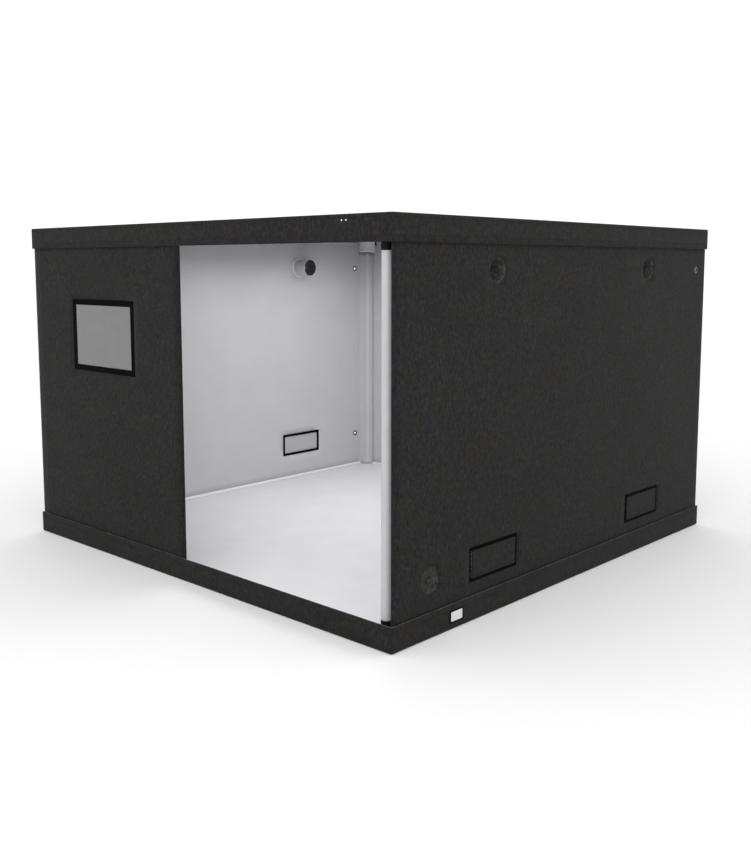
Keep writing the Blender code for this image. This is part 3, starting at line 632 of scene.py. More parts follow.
# %% [markdown]
# ## Roof cap and base tray
#
# Each is a flat panel with a skirt sewn round it.  The skirt's free edge is a folded hem, so its last
# 13 mm stand a little proud, with a row of stitches above the fold.  The roof hangs very slightly
# between the rails and the bar; the skirts are loose at their hem and tight at their corners.

# %% Skirted covers
HEM = 13 * MM
HEM_RISE = 0.5 * MM
HEM_SLOPE = 0.7 * MM
SKIRT_THICKNESS = 2.0 * MM
EDGE_ROUND = 2.5 * MM
ROOF_SAG = 2.0 * MM
SKIRT_RIPPLE = 0.5 * MM
SEAM_INSET = 4 * MM

roof_low, roof_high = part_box("roof_cap")
base_low, base_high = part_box("base_tray")


def skirt_soft(seed, free_at_top):
    """A skirt's shape: the hem's step, and ripples that grow towards the free edge."""
    waves = ripple(seed, SKIRT_RIPPLE, 0.16)

    def soft(run, u, v):
        from_edge = run.height - v if free_at_top else v
        loose = 1 - from_edge / run.height
        ends = eased(min(u, run.width - u) / 0.05)
        folded = eased((HEM + HEM_SLOPE - from_edge) / HEM_SLOPE) * HEM_RISE
        return folded * ends + waves(u, 0) * loose * ends
    return soft


def skirts(low, high, free_at_top, cuts_x, cuts_y):
    """Four skirt runs round a panel; the cuts keep their grid in step with the panel's."""
    height = high.z - low.z
    hem = [height - HEM, height - HEM - HEM_SLOPE] if free_at_top else [HEM, HEM + HEM_SLOPE]
    sides = (
        ((low.x, low.y), (1, 0, 0), high.x - low.x, [c - low.x for c in cuts_x]),
        ((high.x, low.y), (0, 1, 0), high.y - low.y, [c - low.y for c in cuts_y]),
        ((high.x, high.y), (-1, 0, 0), high.x - low.x, [high.x - c for c in cuts_x]),
        ((low.x, high.y), (0, -1, 0), high.y - low.y, [high.y - c for c in cuts_y]),
    )
    made = []
    for seed, ((x, y), across, width, cuts) in enumerate(sides):
        soft = skirt_soft(seed + 10 * free_at_top, free_at_top)
        run = Run((x, y, low.z), across, (0, 0, 1), width, height, soft, marks=(cuts, hem))
        made.append(run)
        for above in (HEM - 2 * MM, height - 6 * MM):  # along the hem, and under the panel
            row = height - above if free_at_top else above
            run_seam(run, (SEAM_INSET, row), (width - SEAM_INSET, row))
    return made


def roof_soft(run, u, v):
    """The roof hangs a little in each half, between the outer rails and the bar in the middle."""
    across = abs(math.sin(2 * math.pi * u / run.width))
    along = math.sin(math.pi * v / run.height)
    return (-ROOF_SAG * across * along + ROOF_RIPPLES(u, v)) * run.calm(u, v, 0.12)


ROOF_RIPPLES = ripple(3, 0.8 * MM, 0.3)
SLEEVES = {"duct_sleeve_roof": (0, 0, -1), "duct_sleeve_left_back": (1, 0, 0),
           "duct_sleeve_right_back": (-1, 0, 0), "duct_sleeve_right_front": (-1, 0, 0)}
PORT_PARTS = 14  # a port's edge then has 48 sides


def tip_radius(node, inward):
    """A sleeve's outer radius, measured at its free end."""
    inward = Vector(inward)
    centre = middle(node)
    points = [v.co - centre for v in frame["nodes"][node].data.vertices]
    reach = max(p.dot(inward) for p in points)
    return max((p - inward * p.dot(inward)).length for p in points if p.dot(inward) > reach - 0.1 * MM)


PORT_RADIUS = tip_radius("duct_sleeve_roof", (0, 0, -1))
print("port radius", round(PORT_RADIUS / MM, 1), "mm")

# %% [markdown]
# The panel and its four skirts are woven as separate runs and then sewn into one sheet, so the cloth
# turns the edge without a gap.

# %% Roof cap and base tray
port = middle("duct_sleeve_roof")
roof_run = Run((roof_low.x, roof_low.y, roof_high.z), (1, 0, 0), (0, 1, 0), roof_high.x - roof_low.x,
               roof_high.y - roof_low.y, roof_soft,
               rounds=[(port.x - roof_low.x, port.y - roof_low.y, PORT_RADIUS, PORT_PARTS)])
roof_skirts = skirts(roof_low, roof_high, False, [u + roof_low.x for u in roof_run.us],
                     [v + roof_low.y for v in roof_run.vs])
roof = piece("roof_canopy", cloth_mesh("roof_canopy", [roof_run, *roof_skirts], EDGE_ROUND), LAMINATE,
             replaces=["roof_cap"])
thicken(roof, SKIRT_THICKNESS)
base_run = Run((base_low.x, base_low.y, base_low.z), (0, 1, 0), (1, 0, 0), base_high.y - base_low.y,
               base_high.x - base_low.x)
base_skirts = skirts(base_low, base_high, True, [v + base_low.x for v in base_run.vs],
                     [u + base_low.y for u in base_run.us])
# The base's cut edges take the brightest copy of the canvas: a painted highlight that draws the light line
# along the top of its skirt.
base = piece("base_canvas", cloth_mesh("base_canvas", [base_run, *base_skirts], EDGE_ROUND),
             (CANVAS, LINING, SKIRT_RIM_HIGHLIGHT), replaces=["base_tray"])
thicken(base, SKIRT_THICKNESS)
print("roof and base:", len(roof.data.polygons), len(base.data.polygons), "faces")

# %% [markdown]
# ## Walls
#
# A wall is one run, held flat where it is sewn at its edges and round its openings, and free to ripple
# by half a millimetre between them.  Its square holes are cut a little larger than the bound openings,
# so the raw edge lies hidden in the tape.

# %% Walls
WALL_RIPPLE = 0.9 * MM
TAPE_COVER = 3.0 * MM  # how far a vent's tape laps over the edge of its hole
EYELET_PARTS = 8
VENTS = ("left_back", "left_front", "right_back", "right_front")
EYELETS = ("eyelet_left_low", "eyelet_left_high", "eyelet_right_high")


def wall_soft(seed):
    waves = ripple(seed, WALL_RIPPLE, 0.24)
    return lambda run, u, v: waves(u, v) * run.calm(u, v)


def wall_run(node, across, seed, squares=(), rounds=()):
    """A wall's run, with its holes given as solids to look up in the frame."""
    low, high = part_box(node)
    across = Vector(across)
    out = across.cross(Vector((0, 0, 1)))
    corner = Vector([high[i] if out[i] > 0.5 or across[i] < -0.5 else low[i] for i in range(3)])
    corner.z = low.z
    width = abs((high - low).dot(across))
    square_holes = []
    for hole, cover in squares:
        a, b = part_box(hole)
        start, end = sorted(((a - corner).dot(across), (b - corner).dot(across)))
        foot, top = a.z - corner.z, b.z - corner.z
        square_holes.append((start + cover, foot + cover, end - cover, top - cover))
    round_holes = []
    for hole, radius, parts in rounds:
        centre = middle(hole) - corner
        round_holes.append((centre.dot(across), centre.z, radius, parts))
    height = high.z - low.z
    return Run(corner, across, (0, 0, 1), width, height, wall_soft(seed), square_holes, round_holes)


def side_holes(side):
    squares = [("vent_binding_" + v, TAPE_COVER) for v in VENTS if v.startswith(side)]
    rounds = [(n, PORT_RADIUS, PORT_PARTS) for n in SLEEVES if side in n]
    rounds += [(n, EYELET_HOLE, EYELET_PARTS) for n in EYELETS if side in n]
    if side == "right":
        rounds.append(("closed_sleeve_right", PORT_RADIUS, PORT_PARTS))
    return squares, rounds


EYELET_HOLE = 5.5 * MM  # in the wall, hidden under the eyelet's lip
WALL_THICKNESS = min(b - a for a, b in zip(*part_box("wall_back")))
EDGE_SEAM = 9 * MM
SKIRT_COVER = 46 * MM  # a wall's seams end behind the skirts


def upright_seam(run, u):
    """A line of stitches up a wall, between the two skirts."""
    run_seam(run, (u, SKIRT_COVER), (u, run.height - SKIRT_COVER))


for name, across, seed in (("wall_left", (0, -1, 0), 21), ("wall_right", (0, 1, 0), 22),
                           ("wall_back", (-1, 0, 0), 23)):
    squares, rounds = side_holes(name[5:]) if name != "wall_back" else ((), ())
    run = wall_run(name, across, seed, squares, rounds)
    wall = piece(name + "_cloth", cloth_mesh(name, [run]), LAMINATE, replaces=[name])
    thicken(wall, WALL_THICKNESS)
    for u in (EDGE_SEAM, run.width - EDGE_SEAM):
        upright_seam(run, u)

# %% [markdown]
# ## Front wall
#
# The front's left half is a wall with the window; to its right only a header and a sill are left, hidden
# behind the skirts, with the door between them.  The opening runs to the wall's right edge less a strip
# that is sewn to the side wall.

# %% Front wall
SILL_STRIP = 3.0 * MM
front_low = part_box("wall_front")[0]
wall_points = [v.co for v in frame["nodes"]["wall_front"].data.vertices]
jamb_x = max(p.x for p in wall_points if abs(p.z - 0.35) < 0.32 and p.x < 0.1)
sill_z = max(p.z for p in wall_points if p.x > 0.5 and p.z < 0.3)
header_z = min(p.z for p in wall_points if p.x > 0.5 and p.z > 0.3)
front_run = wall_run("wall_front", (1, 0, 0), 24, [("window_binding", 5 * MM)])
front_run = Run(front_run.origin, (1, 0, 0), (0, 0, 1), front_run.width, front_run.height, front_run.soft,
                [*front_run.squares, (jamb_x - front_low.x, sill_z - front_low.z,
                                      front_run.width + SILL_STRIP, header_z - front_low.z)])
front_run.us = lines(0, front_run.width, [s[0] for s in front_run.squares] + [front_run.squares[0][2]])
front = piece("wall_front_cloth", cloth_mesh("wall_front", [front_run]), LAMINATE,
              replaces=["wall_front"])
thicken(front, WALL_THICKNESS)
upright_seam(front_run, EDGE_SEAM)
upright_seam(front_run, jamb_x - front_low.x - SEAM_INSET)
print("door opening from", round(sill_z, 4), "to", round(header_z, 4), "m, right of x =", round(jamb_x, 4))

# %% [markdown]
# ## Floor
#
# The floor is a white film sheet laid on the tray.  A thin rod sits in a hem where it meets each wall.
# The hem is sewn to both, so it rounds the corner between them and shows as a bright line, partly from that
# shape and partly from its film, which is painted lighter than the floor's.

# %% Floor film and its edge hems
# The hem's section in millimetres from the rod's axis: (towards the wall, up).
HEM_OUTLINE = ((2.2, 2.7), (1.2, 2.5), (0.0, 2.15), (-1.1, 1.75), (-1.9, 1.0), (-2.4, 0.0), (-2.9, -1.1),
               (-3.8, -2.2), (2.2, -2.2))


def loft(shape, rings, closed_ends=False, closed_round=True):
    """Joins rings of points, all of one length, into a skin."""
    rows = [[shape.verts.new(p) for p in ring] for ring in rings]
    count = len(rows[0])
    for a, b in zip(rows, rows[1:]):
        for i in range(count if closed_round else count - 1):
            j = (i + 1) % count
            shape.faces.new([a[i], a[j], b[j], b[i]])
    if closed_ends:
        shape.faces.new(list(reversed(rows[0])))
        shape.faces.new(rows[-1])
    return rows


def closed_mesh(name, shape, smooth=50):
    """A closed shape as a mesh: doubled points merged, and its faces turned outwards."""
    bmesh.ops.remove_doubles(shape, verts=shape.verts, dist=0.001 * MM)
    bmesh.ops.recalc_face_normals(shape, faces=shape.faces)
    return as_mesh(name, shape, smooth)


print("the hem's section has", len(HEM_OUTLINE), "points")

# %% Lay the floor
mat_low, mat_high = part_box("floor_mat")
floor_soft_waves = ripple(31, 0.5 * MM, 0.35)


def floor_soft(run, u, v):
    return max(0.0, floor_soft_waves(u, v)) * run.calm(u, v, 0.1)


floor_run = Run((mat_low.x, mat_low.y, mat_high.z), (1, 0, 0), (0, 1, 0), mat_high.x - mat_low.x,
                mat_high.y - mat_low.y, floor_soft)
floor_film = piece("floor_film", cloth_mesh("floor_film", [floor_run]), (FLOOR_FILM_LIT,),
                   replaces=["floor_mat"])
thicken(floor_film, mat_high.z - mat_low.z)
print("floor film", round(floor_run.width, 3), "m square")

# %% Hems round the edge rods
for side in ("front", "back", "left", "right"):
    node = "floor_edge_rod_" + side
    low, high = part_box(node)
    along = 0 if side in ("front", "back") else 1
    centre, half = (low + high) / 2, (high - low) / 2
    outward = Vector((0, centre.y, 0)) if along == 0 else Vector((centre.x, 0, 0))
    outward.normalize()
    axis = Vector((1, 0, 0)) if along == 0 else Vector((0, 1, 0))
    shape = bmesh.new()
    rings = []
    for at in lines(-half[along], half[along], step=30 * MM):
        swell = 1 + 0.02 * math.sin(at * 170)
        rings.append([centre + axis * at + (outward * d + Vector((0, 0, h))) * (MM * swell)
                      for d, h in HEM_OUTLINE])
    loft(shape, rings, closed_ends=True)
    mesh = closed_mesh(node + "_hem", shape, 60)
    piece(node + "_hem", mesh, (HEM_FILM_HIGHLIGHT,), replaces=[node])

# %% [markdown]
# ## Corner pockets
#
# At the two back corners a strip of the white film is sewn from wall to wall in front of the post, so
# from the door only a soft white column shows there.  The strip runs round the foot and stops below
# the corner's joint.

# %% Pockets for the back posts
POCKET_ROOM = 1.5 * MM  # between the foot's plate and the strip
POCKET_CLOTH = 0.8 * MM
POCKET_WAIST = 2.4 * MM  # closer round the post than round the plate
POCKET_TAIL = 11 * MM
POCKET_TOP = 30 * MM  # below the rails' axis


def corner_pocket(side):
    """A strip bent round the room side of a back post, with its place measured on that post."""
    post = middle("upright_back_" + side)
    foot_low, foot_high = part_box("foot_back_" + side)
    plate = (foot_high.x - foot_low.x) / 2 + POCKET_ROOM
    radius = plate - POCKET_WAIST
    wall_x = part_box("wall_left")[1].x if side == "left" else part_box("wall_right")[0].x
    wall_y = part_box("wall_back")[0].y
    room = 1 if side == "left" else -1
    outline = [Vector((wall_x + room * 0.1 * MM, post.y - radius - POCKET_TAIL / 2)),
               Vector((wall_x + room * 3 * MM, post.y - radius - 2.5 * MM))]
    outline += [Vector((post.x + room * radius * math.sin(math.radians(a)),
                        post.y - radius * math.cos(math.radians(a)))) for a in range(0, 91, 9)]
    outline.append(Vector((post.x + room * (radius + POCKET_TAIL / 2), wall_y - 0.1 * MM)))
    top = middle("top_rail_back").z - POCKET_TOP
    waves = ripple(91 + room, 0.5 * MM, 0.09)
    shape = bmesh.new()
    rows = []
    floor_z = mat_high.z
    for z in lines(floor_z + 0.2 * MM, top, [floor_z + h * MM for h in (8, 12, 16, 20)], 14 * MM):
        row = []
        for k, p in enumerate(outline):
            away = Vector((p.x - post.x, p.y - post.y)).normalized()
            flare = POCKET_WAIST * eased((floor_z + 20 * MM - z) / (12 * MM))
            loose = (flare + max(0.0, waves(k * 4 * MM, z))) * (0 < k < len(outline) - 1)
            row.append(Vector((p.x + away.x * loose, p.y + away.y * loose, z)))
        rows.append(row if side == "left" else list(reversed(row)))
    loft(shape, rows, closed_round=False)
    name = "corner_pocket_back_" + side
    item = piece(name, as_mesh(name, shape, 60), (LINING,))
    thicken(item, POCKET_CLOTH)


corner_pocket("left")
corner_pocket("right")

# %% [markdown]
# ## Frame
#
# The tubes are drawn again from the frame's own lengths and radii with many more sides, an inside bore
# and a rolled edge at each end.  Corners, feet and clips keep their solids' shape: a copy is merged, its
# flat faces are made whole, and its edges are rounded as a mould leaves them.

# %% Tubes
TUBE_SIDES = 48
TUBE_WALL = 1.0 * MM
TUBE_EDGE = 0.4 * MM
TUBES = ["upright_" + c for c in ("front_left", "front_right", "back_left", "back_right")]
TUBES += ["top_rail_" + s for s in ("front", "back", "left", "right")] + ["roof_bar"]


def ring_points(place, radius, depth, sides=40, wobble=None):
    """Points round the frame's z axis."""
    points = []
    for i in range(sides):
        turn = math.tau * i / sides
        r = radius + (wobble(turn) if wobble else 0)
        points.append(place @ Vector((r * math.cos(turn), r * math.sin(turn), depth)))
    return points


def turned_mesh(name, place, outline, sides=40, smooth=50):
    """A closed outline of (radius, height) turned about the frame's z axis."""
    shape = bmesh.new()
    loft(shape, [ring_points(place, r, h, sides) for r, h in outline + outline[:1]])
    return closed_mesh(name, shape, smooth)


def steel_tube(node):
    low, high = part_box(node)
    size = high - low
    along = max(range(3), key=lambda i: size[i])
    radius = min(size) / 2
    bore = radius - TUBE_WALL
    axis = Vector([1.0 if i == along else 0.0 for i in range(3)])
    turn = Vector((0, 0, 1)).rotation_difference(axis).to_matrix().to_4x4()
    half = size[along] / 2
    outline = [(bore, half - TUBE_EDGE / 2), (bore + TUBE_EDGE / 2, half), (radius - TUBE_EDGE, half),
               (radius - TUBE_EDGE * 0.3, half - TUBE_EDGE * 0.3), (radius, half - TUBE_EDGE)]
    outline += [(r, -h) for r, h in reversed(outline)]
    name = node + "_tube"
    mesh = turned_mesh(name, Matrix.Translation((low + high) / 2) @ turn, outline, TUBE_SIDES, 40)
    return piece(name, mesh, (POWDER_COAT,), replaces=[node])


tubes = [steel_tube(node) for node in TUBES]
print(len(tubes), "tubes of", TUBE_SIDES, "sides")

# %% [markdown]
# ### Moulded and cast pieces
#
# A bevel on the merged copy gives each edge the small radius that a mould needs to let a piece go.

# %% Moulded and cast pieces
FLAT_ENOUGH = math.radians(1.0)


def softened(node, finish_used, width, body=BODY, segments=2):
    """A copy of a solid, merged into whole faces, with its edges rounded."""
    shape = bmesh.new()
    shape.from_mesh(frame["nodes"][node].data)
    bmesh.ops.remove_doubles(shape, verts=shape.verts, dist=0.01 * MM)
    bmesh.ops.dissolve_limit(shape, angle_limit=FLAT_ENOUGH, verts=shape.verts, edges=shape.edges)
    name = node + "_moulded"
    item = piece(name, as_mesh(name, shape, 35), (finish_used,), body, [node])
    edge = item.modifiers.new("Edge", "BEVEL")
    edge.width = width
    edge.segments = segments
    edge.limit_method = "ANGLE"
    edge.angle_limit = math.radians(38)
    edge.use_clamp_overlap = True
    edge.harden_normals = False
    return item


for node in sorted(frame["nodes"]):
    if node.startswith(("corner_connector", "foot_", "roof_bar_clip")):
        softened(node, NYLON, 0.3 * MM)
softened("zip_slider", ENAMEL, 0.35 * MM, body="zip_slider")
softened("zip_pull", ENAMEL, 0.3 * MM, body="zip_pull")
print("moulded corners, feet and clips; cast slider and pull")

# %% [markdown]
# ## Tape round the openings
#
# A bound opening is a tape folded over the cloth's edge, mitred at its corners.  Its section is one
# closed outline: a soft crown outside, another inside, and the slot that the wall lies in between them.
# The outline is carried to the four corners of a rectangle, which makes true mitres.

# %% Bound openings
def tape_section(border, wall, rise, cover, web):
    """The folded tape's outline: (in from the outer edge, out from the wall's face).

    Its back is wider by `web`, which catches the net or the pane.
    """
    gap = 0.2 * MM
    crown = [(0, 0.0), (0.06, 0.6), (0.2, 0.95), (0.5, 1.0), (0.8, 0.95), (0.94, 0.6), (1.0, 0.1)]
    front_side = [(d * border, gap + h * rise) for d, h in crown]
    back_side = [(d * (border + web) / border, -wall - h) for d, h in reversed(front_side)]
    slot = [(cover, -wall - gap), (cover, gap)]
    return front_side + back_side + slot


def bound_opening(shape, place, width, height, section):
    """A mitred frame of that section; local x is outwards, y across and z up."""
    rings = []
    for sy, sz in ((-1, -1), (1, -1), (1, 1), (-1, 1), (-1, -1)):
        rings.append([place @ Vector((h, sy * (width / 2 - d), sz * (height / 2 - d))) for d, h in section])
    loft(shape, rings)


def outward_place(node, out):
    """A frame on the wall's outer face: x outwards, z up, centred on the node."""
    out = Vector(out)
    turn = Vector((1, 0, 0)).rotation_difference(out).to_matrix().to_4x4()
    if out.x < -0.5:
        turn = Matrix.Rotation(math.pi, 4, "Z")
    centre = middle(node)
    return Matrix.Translation(centre + out * (WALL_THICKNESS / 2)) @ turn


def frame_seams(place, width, height, inset, rise, body=BODY, thread=THREAD):
    half_w, half_h = width / 2 - inset, height / 2 - inset
    corners = [(-half_w, -half_h), (half_w, -half_h), (half_w, half_h), (-half_w, half_h)]
    out = place.to_3x3() @ Vector((1, 0, 0))
    for a, b in zip(corners, corners[1:] + corners[:1]):
        seam([place @ Vector((rise, *a)), place @ Vector((rise, *b))], out, body, thread)


def open_edge(node, out, border, cover, rise, web):
    low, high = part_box(node)
    width = high.y - low.y if abs(out[0]) > 0.5 else high.x - low.x
    height = high.z - low.z
    place = outward_place(node, out)
    shape = bmesh.new()
    bound_opening(shape, place, width, height, tape_section(border, WALL_THICKNESS, rise, cover, web))
    name = node + "_tape"
    tape = piece(name, closed_mesh(name, shape), (TAPE,), replaces=[node])
    frame_seams(place, width, height, border / 2, 0.2 * MM + rise, thread=BLACK_THREAD)
    return tape, place, width, height


VENT_BORDER = 4.5 * MM
VENT_WEB = 2.6 * MM
WINDOW_BORDER = 12.0 * MM
TAPE_RISE = 0.8 * MM
window_tape, _, window_width, window_height = open_edge(
    "window_binding", (0, -1, 0), WINDOW_BORDER, 4 * MM, TAPE_RISE, 0.0)
print("window tape", round(window_width / MM), "x", round(window_height / MM), "mm")

# %% [markdown]
# ## Window
#
# The pane is half a millimetre of soft vinyl, sewn in under its tape.  It is a little slack, so it
# bulges and its reflections wander.

# %% Window pane
pane_low, pane_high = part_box("window_pane")
pane_waves = ripple(41, 0.5 * MM, 0.12)


def pane_soft(run, u, v):
    bulge = math.sin(math.pi * u / run.width) * math.sin(math.pi * v / run.height)
    return 0.5 * MM * bulge + pane_waves(u, v) * run.calm(u, v, 0.05)


pane_run = Run((pane_low.x, pane_low.y, pane_low.z), (1, 0, 0), (0, 0, 1), pane_high.x - pane_low.x,
               pane_high.z - pane_low.z, pane_soft)
pane_run.us = lines(0, pane_run.width, step=8 * MM)
pane_run.vs = lines(0, pane_run.height, step=8 * MM)
pane = piece("window_vinyl", cloth_mesh("window_vinyl", [pane_run]), (VINYL,),
             replaces=["window_pane"])
thicken(pane, pane_high.y - pane_low.y)
print("pane of", len(pane.data.polygons), "faces")

# %% [markdown]
# ## Vents
#
# Behind each flap is a net.  It is a real grid of fine threads: a Geometry Nodes tree turns the edges of
# a plain grid into thin tubes.  Real net is finer than this 2.4 mm, which is the finest that shows.

# %% Nets and flaps
NET_PITCH = 2.4 * MM
NET_THREAD = 0.16 * MM
NET_INSET = 3.8 * MM  # its edge lies hidden in the tape
FLAP_THICKNESS = 1.0 * MM
FLAP_BINDING = 1.6 * MM
EDGE_BAND = Vector((FLAP_BINDING, FLAP_BINDING))
FLAP_HEM = 7 * MM
FLAP_HEM_RISE = 0.2 * MM
HINGE_CLEAR = 8 * MM  # a lifted flap's stitches stay clear of the tape above it


def net_tree():
    tree, given = new_tree("net", {"Thread": "Float", "Material": "Material"})
    path = add(tree, "GeometryNodeMeshToCurve", {"Mesh": given["Geometry"]})
    ring = add(tree, "GeometryNodeCurvePrimitiveCircle", {"Resolution": 4, "Radius": given["Thread"]})
    threads = add(tree, "GeometryNodeCurveToMesh",
                  {"Curve": path, "Profile Curve": ring, "Fill Caps": True})
    end_tree(tree, threads, given["Material"])
    return tree


def net_mesh(node, sign, tree):
    """Straight threads both ways across the box of a vent's net."""
    low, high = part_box(node)
    x = (low.x + high.x) / 2
    tape_low, tape_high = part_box(node.replace("mesh", "binding"))
    lap = Vector((0, NET_INSET, NET_INSET))
    low, high = tape_low + lap, tape_high - lap
    points, edges = [], []
    for axis, first, last in ((1, low.y, high.y), (2, low.z, high.z)):
        count = round((last - first) / NET_PITCH)
        for k in range(count + 1):
            at = first + (last - first) * k / count
            ends = [[x, at, low.z], [x, at, high.z]] if axis == 1 else [[x, low.y, at], [x, high.y, at]]
            edges.append((len(points), len(points) + 1))
            lift = NET_THREAD * (1 if axis == 1 else -1) * sign
            points += [(p[0] + lift, p[1], p[2]) for p in ends]
    base_mesh = bpy.data.meshes.new(node)
    base_mesh.from_pydata(points, edges, [])
    return grown(node + "_net", base_mesh, tree, {"Thread": NET_THREAD, "Material": NET})


def flap_soft(seed):
    waves = ripple(seed, 0.25 * MM, 0.05)

    def soft(run, u, v):
        edge = min(u, run.width - u, v)
        hem = FLAP_HEM_RISE * eased((FLAP_HEM - edge) / HEM_SLOPE)
        return hem - FLAP_HEM_RISE + waves(u, v) * run.calm(u, v, 0.02)
    return soft


NET_TREE = net_tree()
print("net threads every", round(NET_PITCH / MM, 1), "mm")

# %% [markdown]
# The four vents are alike.  Each gets its taped opening, its net, and a flap that rides on its own body,
# with a tape folded over its edges.

# %% Make the four vents
nets, flaps = [], []
for seed, side in enumerate(VENTS):
    sign = 1 if side.startswith("right") else -1
    open_edge("vent_binding_" + side, (sign, 0, 0), VENT_BORDER, TAPE_COVER, TAPE_RISE, VENT_WEB)
    net = piece(f"vent_net_{side}", net_mesh("vent_mesh_" + side, sign, NET_TREE),
                replaces=["vent_mesh_" + side])
    nets.append(net)
    low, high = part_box("vent_flap_" + side)
    corner = (high.x, low.y, low.z) if sign > 0 else (low.x, high.y, low.z)
    hems = [FLAP_BINDING, FLAP_HEM, FLAP_HEM + HEM_SLOPE]
    width, height = high.y - low.y, high.z - low.z
    flap_run = Run(corner, (0, sign, 0), (0, 0, 1), width, height, flap_soft(50 + seed),
                   marks=(hems + [width - h for h in hems], hems))
    flap_run.us = lines(0, width, hems + [width - h for h in hems], 9 * MM)
    flap_run.vs = lines(0, height, hems + [height - FLAP_BINDING], 9 * MM)
    body = "vent_flap_" + side
    flap_mesh = cloth_mesh(body, [flap_run])
    low, high = low.yz + EDGE_BAND, high.yz - EDGE_BAND
    for face in flap_mesh.polygons:
        y, z = face.center.yz
        if not (low.x < y < high.x and low.y < z < high.y):
            face.material_index = 2  # the binding, which is tape on all three sides
    flap = piece(body + "_cloth", flap_mesh, (CANVAS, LINING, TAPE, TAPE, TAPE), body, [body])
    thicken(flap, FLAP_THICKNESS)
    flaps.append(flap)
    near, far, top = SEAM_INSET, width - SEAM_INSET, height - HINGE_CLEAR
    for start, end in (((near, near), (far, near)), ((near, near), (near, top)), ((far, near), (far, top))):
        run_seam(flap_run, start, end, body, steps=12)
print(len(nets), "nets of", [len(n.data.polygons) for n in nets][0], "faces and", len(flaps), "flaps")

# %% [markdown]
# ## Duct sleeves
#
# A sleeve is a short tube of the same laminate sewn through the wall, with its white side to the room,
# so its mouth looks dark.  A flat ring of tape holds it on, and its free end is turned back into a
# hem for a drawstring.  One sleeve is drawn shut: its cloth is gathered into pleats that meet in the
# middle.

# %% Sleeves
SLEEVE_SIDES = 72
SLEEVE_CLOTH = 1.2 * MM
SLEEVE_HEM = 7.0 * MM
SLEEVE_ROOT = 6 * MM  # held tight by the seam in the wall
FLANGE = 4.5 * MM
FLANGE_RISE = 0.8 * MM


def port_place(node, inward, start):
    """A frame on a port: z runs inwards, from the cloth's outer face."""
    inward = Vector(inward)
    turn = Vector((0, 0, 1)).rotation_difference(inward).to_matrix().to_4x4()
    centre = middle(node)
    return Matrix.Translation(centre - inward * (centre.dot(inward) - Vector(start).dot(inward))) @ turn


def outer_point(node, inward):
    """The corner of a node's box that is furthest out."""
    low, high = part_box(node)
    return Vector([low[i] if inward[i] > 0 else high[i] for i in range(3)])


def sleeve(node, inward, seed):
    place = port_place(node, inward, outer_point(node, inward))
    low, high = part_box(node)
    length = min(high - low)
    dice = random.Random(seed)
    phases = [dice.uniform(0, math.tau) for _ in range(3)]
    rings = []
    depths = lines(0, length, [length - SLEEVE_HEM, length - SLEEVE_HEM + 0.8 * MM], 2.5 * MM)
    for depth in depths:
        free = eased((depth - SLEEVE_ROOT) / (length - SLEEVE_ROOT))
        hem = eased((depth - (length - SLEEVE_HEM)) / (0.8 * MM)) * 0.5 * MM
        lip = eased((depth - (length - 1.2 * MM)) / (1.2 * MM)) * 0.7 * MM

        def wobble(turn):
            folds = sum(math.sin(k * turn + p) for k, p in zip((2, 3, 9), phases))
            return folds / 3 * 0.5 * MM * free
        radius = PORT_RADIUS - 0.5 * MM * free + hem - lip
        rings.append(ring_points(place, radius, depth, SLEEVE_SIDES, wobble))
    shape = bmesh.new()
    loft(shape, rings)
    # The sleeve's inside takes the lighter copy of the canvas: painted light in the recess.
    item = piece(node + "_cloth", as_mesh(node + "_cloth", shape, 50),
                 (LINING, SLEEVE_CANVAS_LIT, CANVAS_EDGE_HIGHLIGHT), replaces=[node])
    thicken(item, SLEEVE_CLOTH)
    return item, place, length


def sewn_flange(node, place, cloth):
    """A flat ring of film sewn round a sleeve on the room side, with stitches on both of its faces."""
    inner, outer, foot = PORT_RADIUS + 0.1 * MM, PORT_RADIUS + FLANGE, cloth + 0.2 * MM
    outline = [(inner, 0), (inner, 0.7), (inner + 0.4 * MM, 1.0), (outer - 0.6 * MM, 1.0), (outer, 0.4),
               (outer, 0)]
    outline = [(r, foot + h * FLANGE_RISE) for r, h in outline]
    name = node + "_flange"
    ring = piece(name, turned_mesh(name, place, outline, SLEEVE_SIDES), (HEM_FILM_HIGHLIGHT,))
    ring_seam(place, PORT_RADIUS + FLANGE / 2, foot + FLANGE_RISE, 1, WHITE_THREAD)
    ring_seam(place, PORT_RADIUS + FLANGE / 2, -0.05 * MM, -1, THREAD)
    return ring


def ring_seam(place, radius, depth, out_sign, thread):
    points = ring_points(place, radius, depth, 40)
    seam(points + points[:1], place.to_3x3() @ Vector((0, 0, out_sign)), thread=thread)


print("a sleeve's hem is", round(SLEEVE_HEM / MM), "mm")

# %% Sew the open sleeves in
for seed, (node, inward) in enumerate(SLEEVES.items()):
    item, place, length = sleeve(node, inward, 60 + seed)
    cloth = SKIRT_THICKNESS if node.endswith("roof") else WALL_THICKNESS
    sewn_flange(node, place, cloth)

# %% [markdown]
# ### The sleeve that is drawn shut
#
# Its cloth is pulled into a flat rosette: rings of points whose depth waves round them, deepest halfway
# in, and a small button over the knot.

# %% The sleeve that is drawn shut
PLEATS = 18
SHUT = "closed_sleeve_right"
closed_place = port_place(SHUT, (-1, 0, 0), outer_point(SHUT, (-1, 0, 0)))
closed_low, closed_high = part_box(SHUT)
closed_depth = closed_high.x - closed_low.x
GATHER_SIDES = PLEATS * 8


def gathered_ring(radius, depth, pleat):
    points = []
    for i in range(GATHER_SIDES):
        turn = math.tau * i / GATHER_SIDES
        fold = math.cos(PLEATS * turn + 0.6 * math.sin(3 * turn))
        points.append(closed_place @ Vector((radius * math.cos(turn), radius * math.sin(turn),
                                             depth + pleat * fold)))
    return points


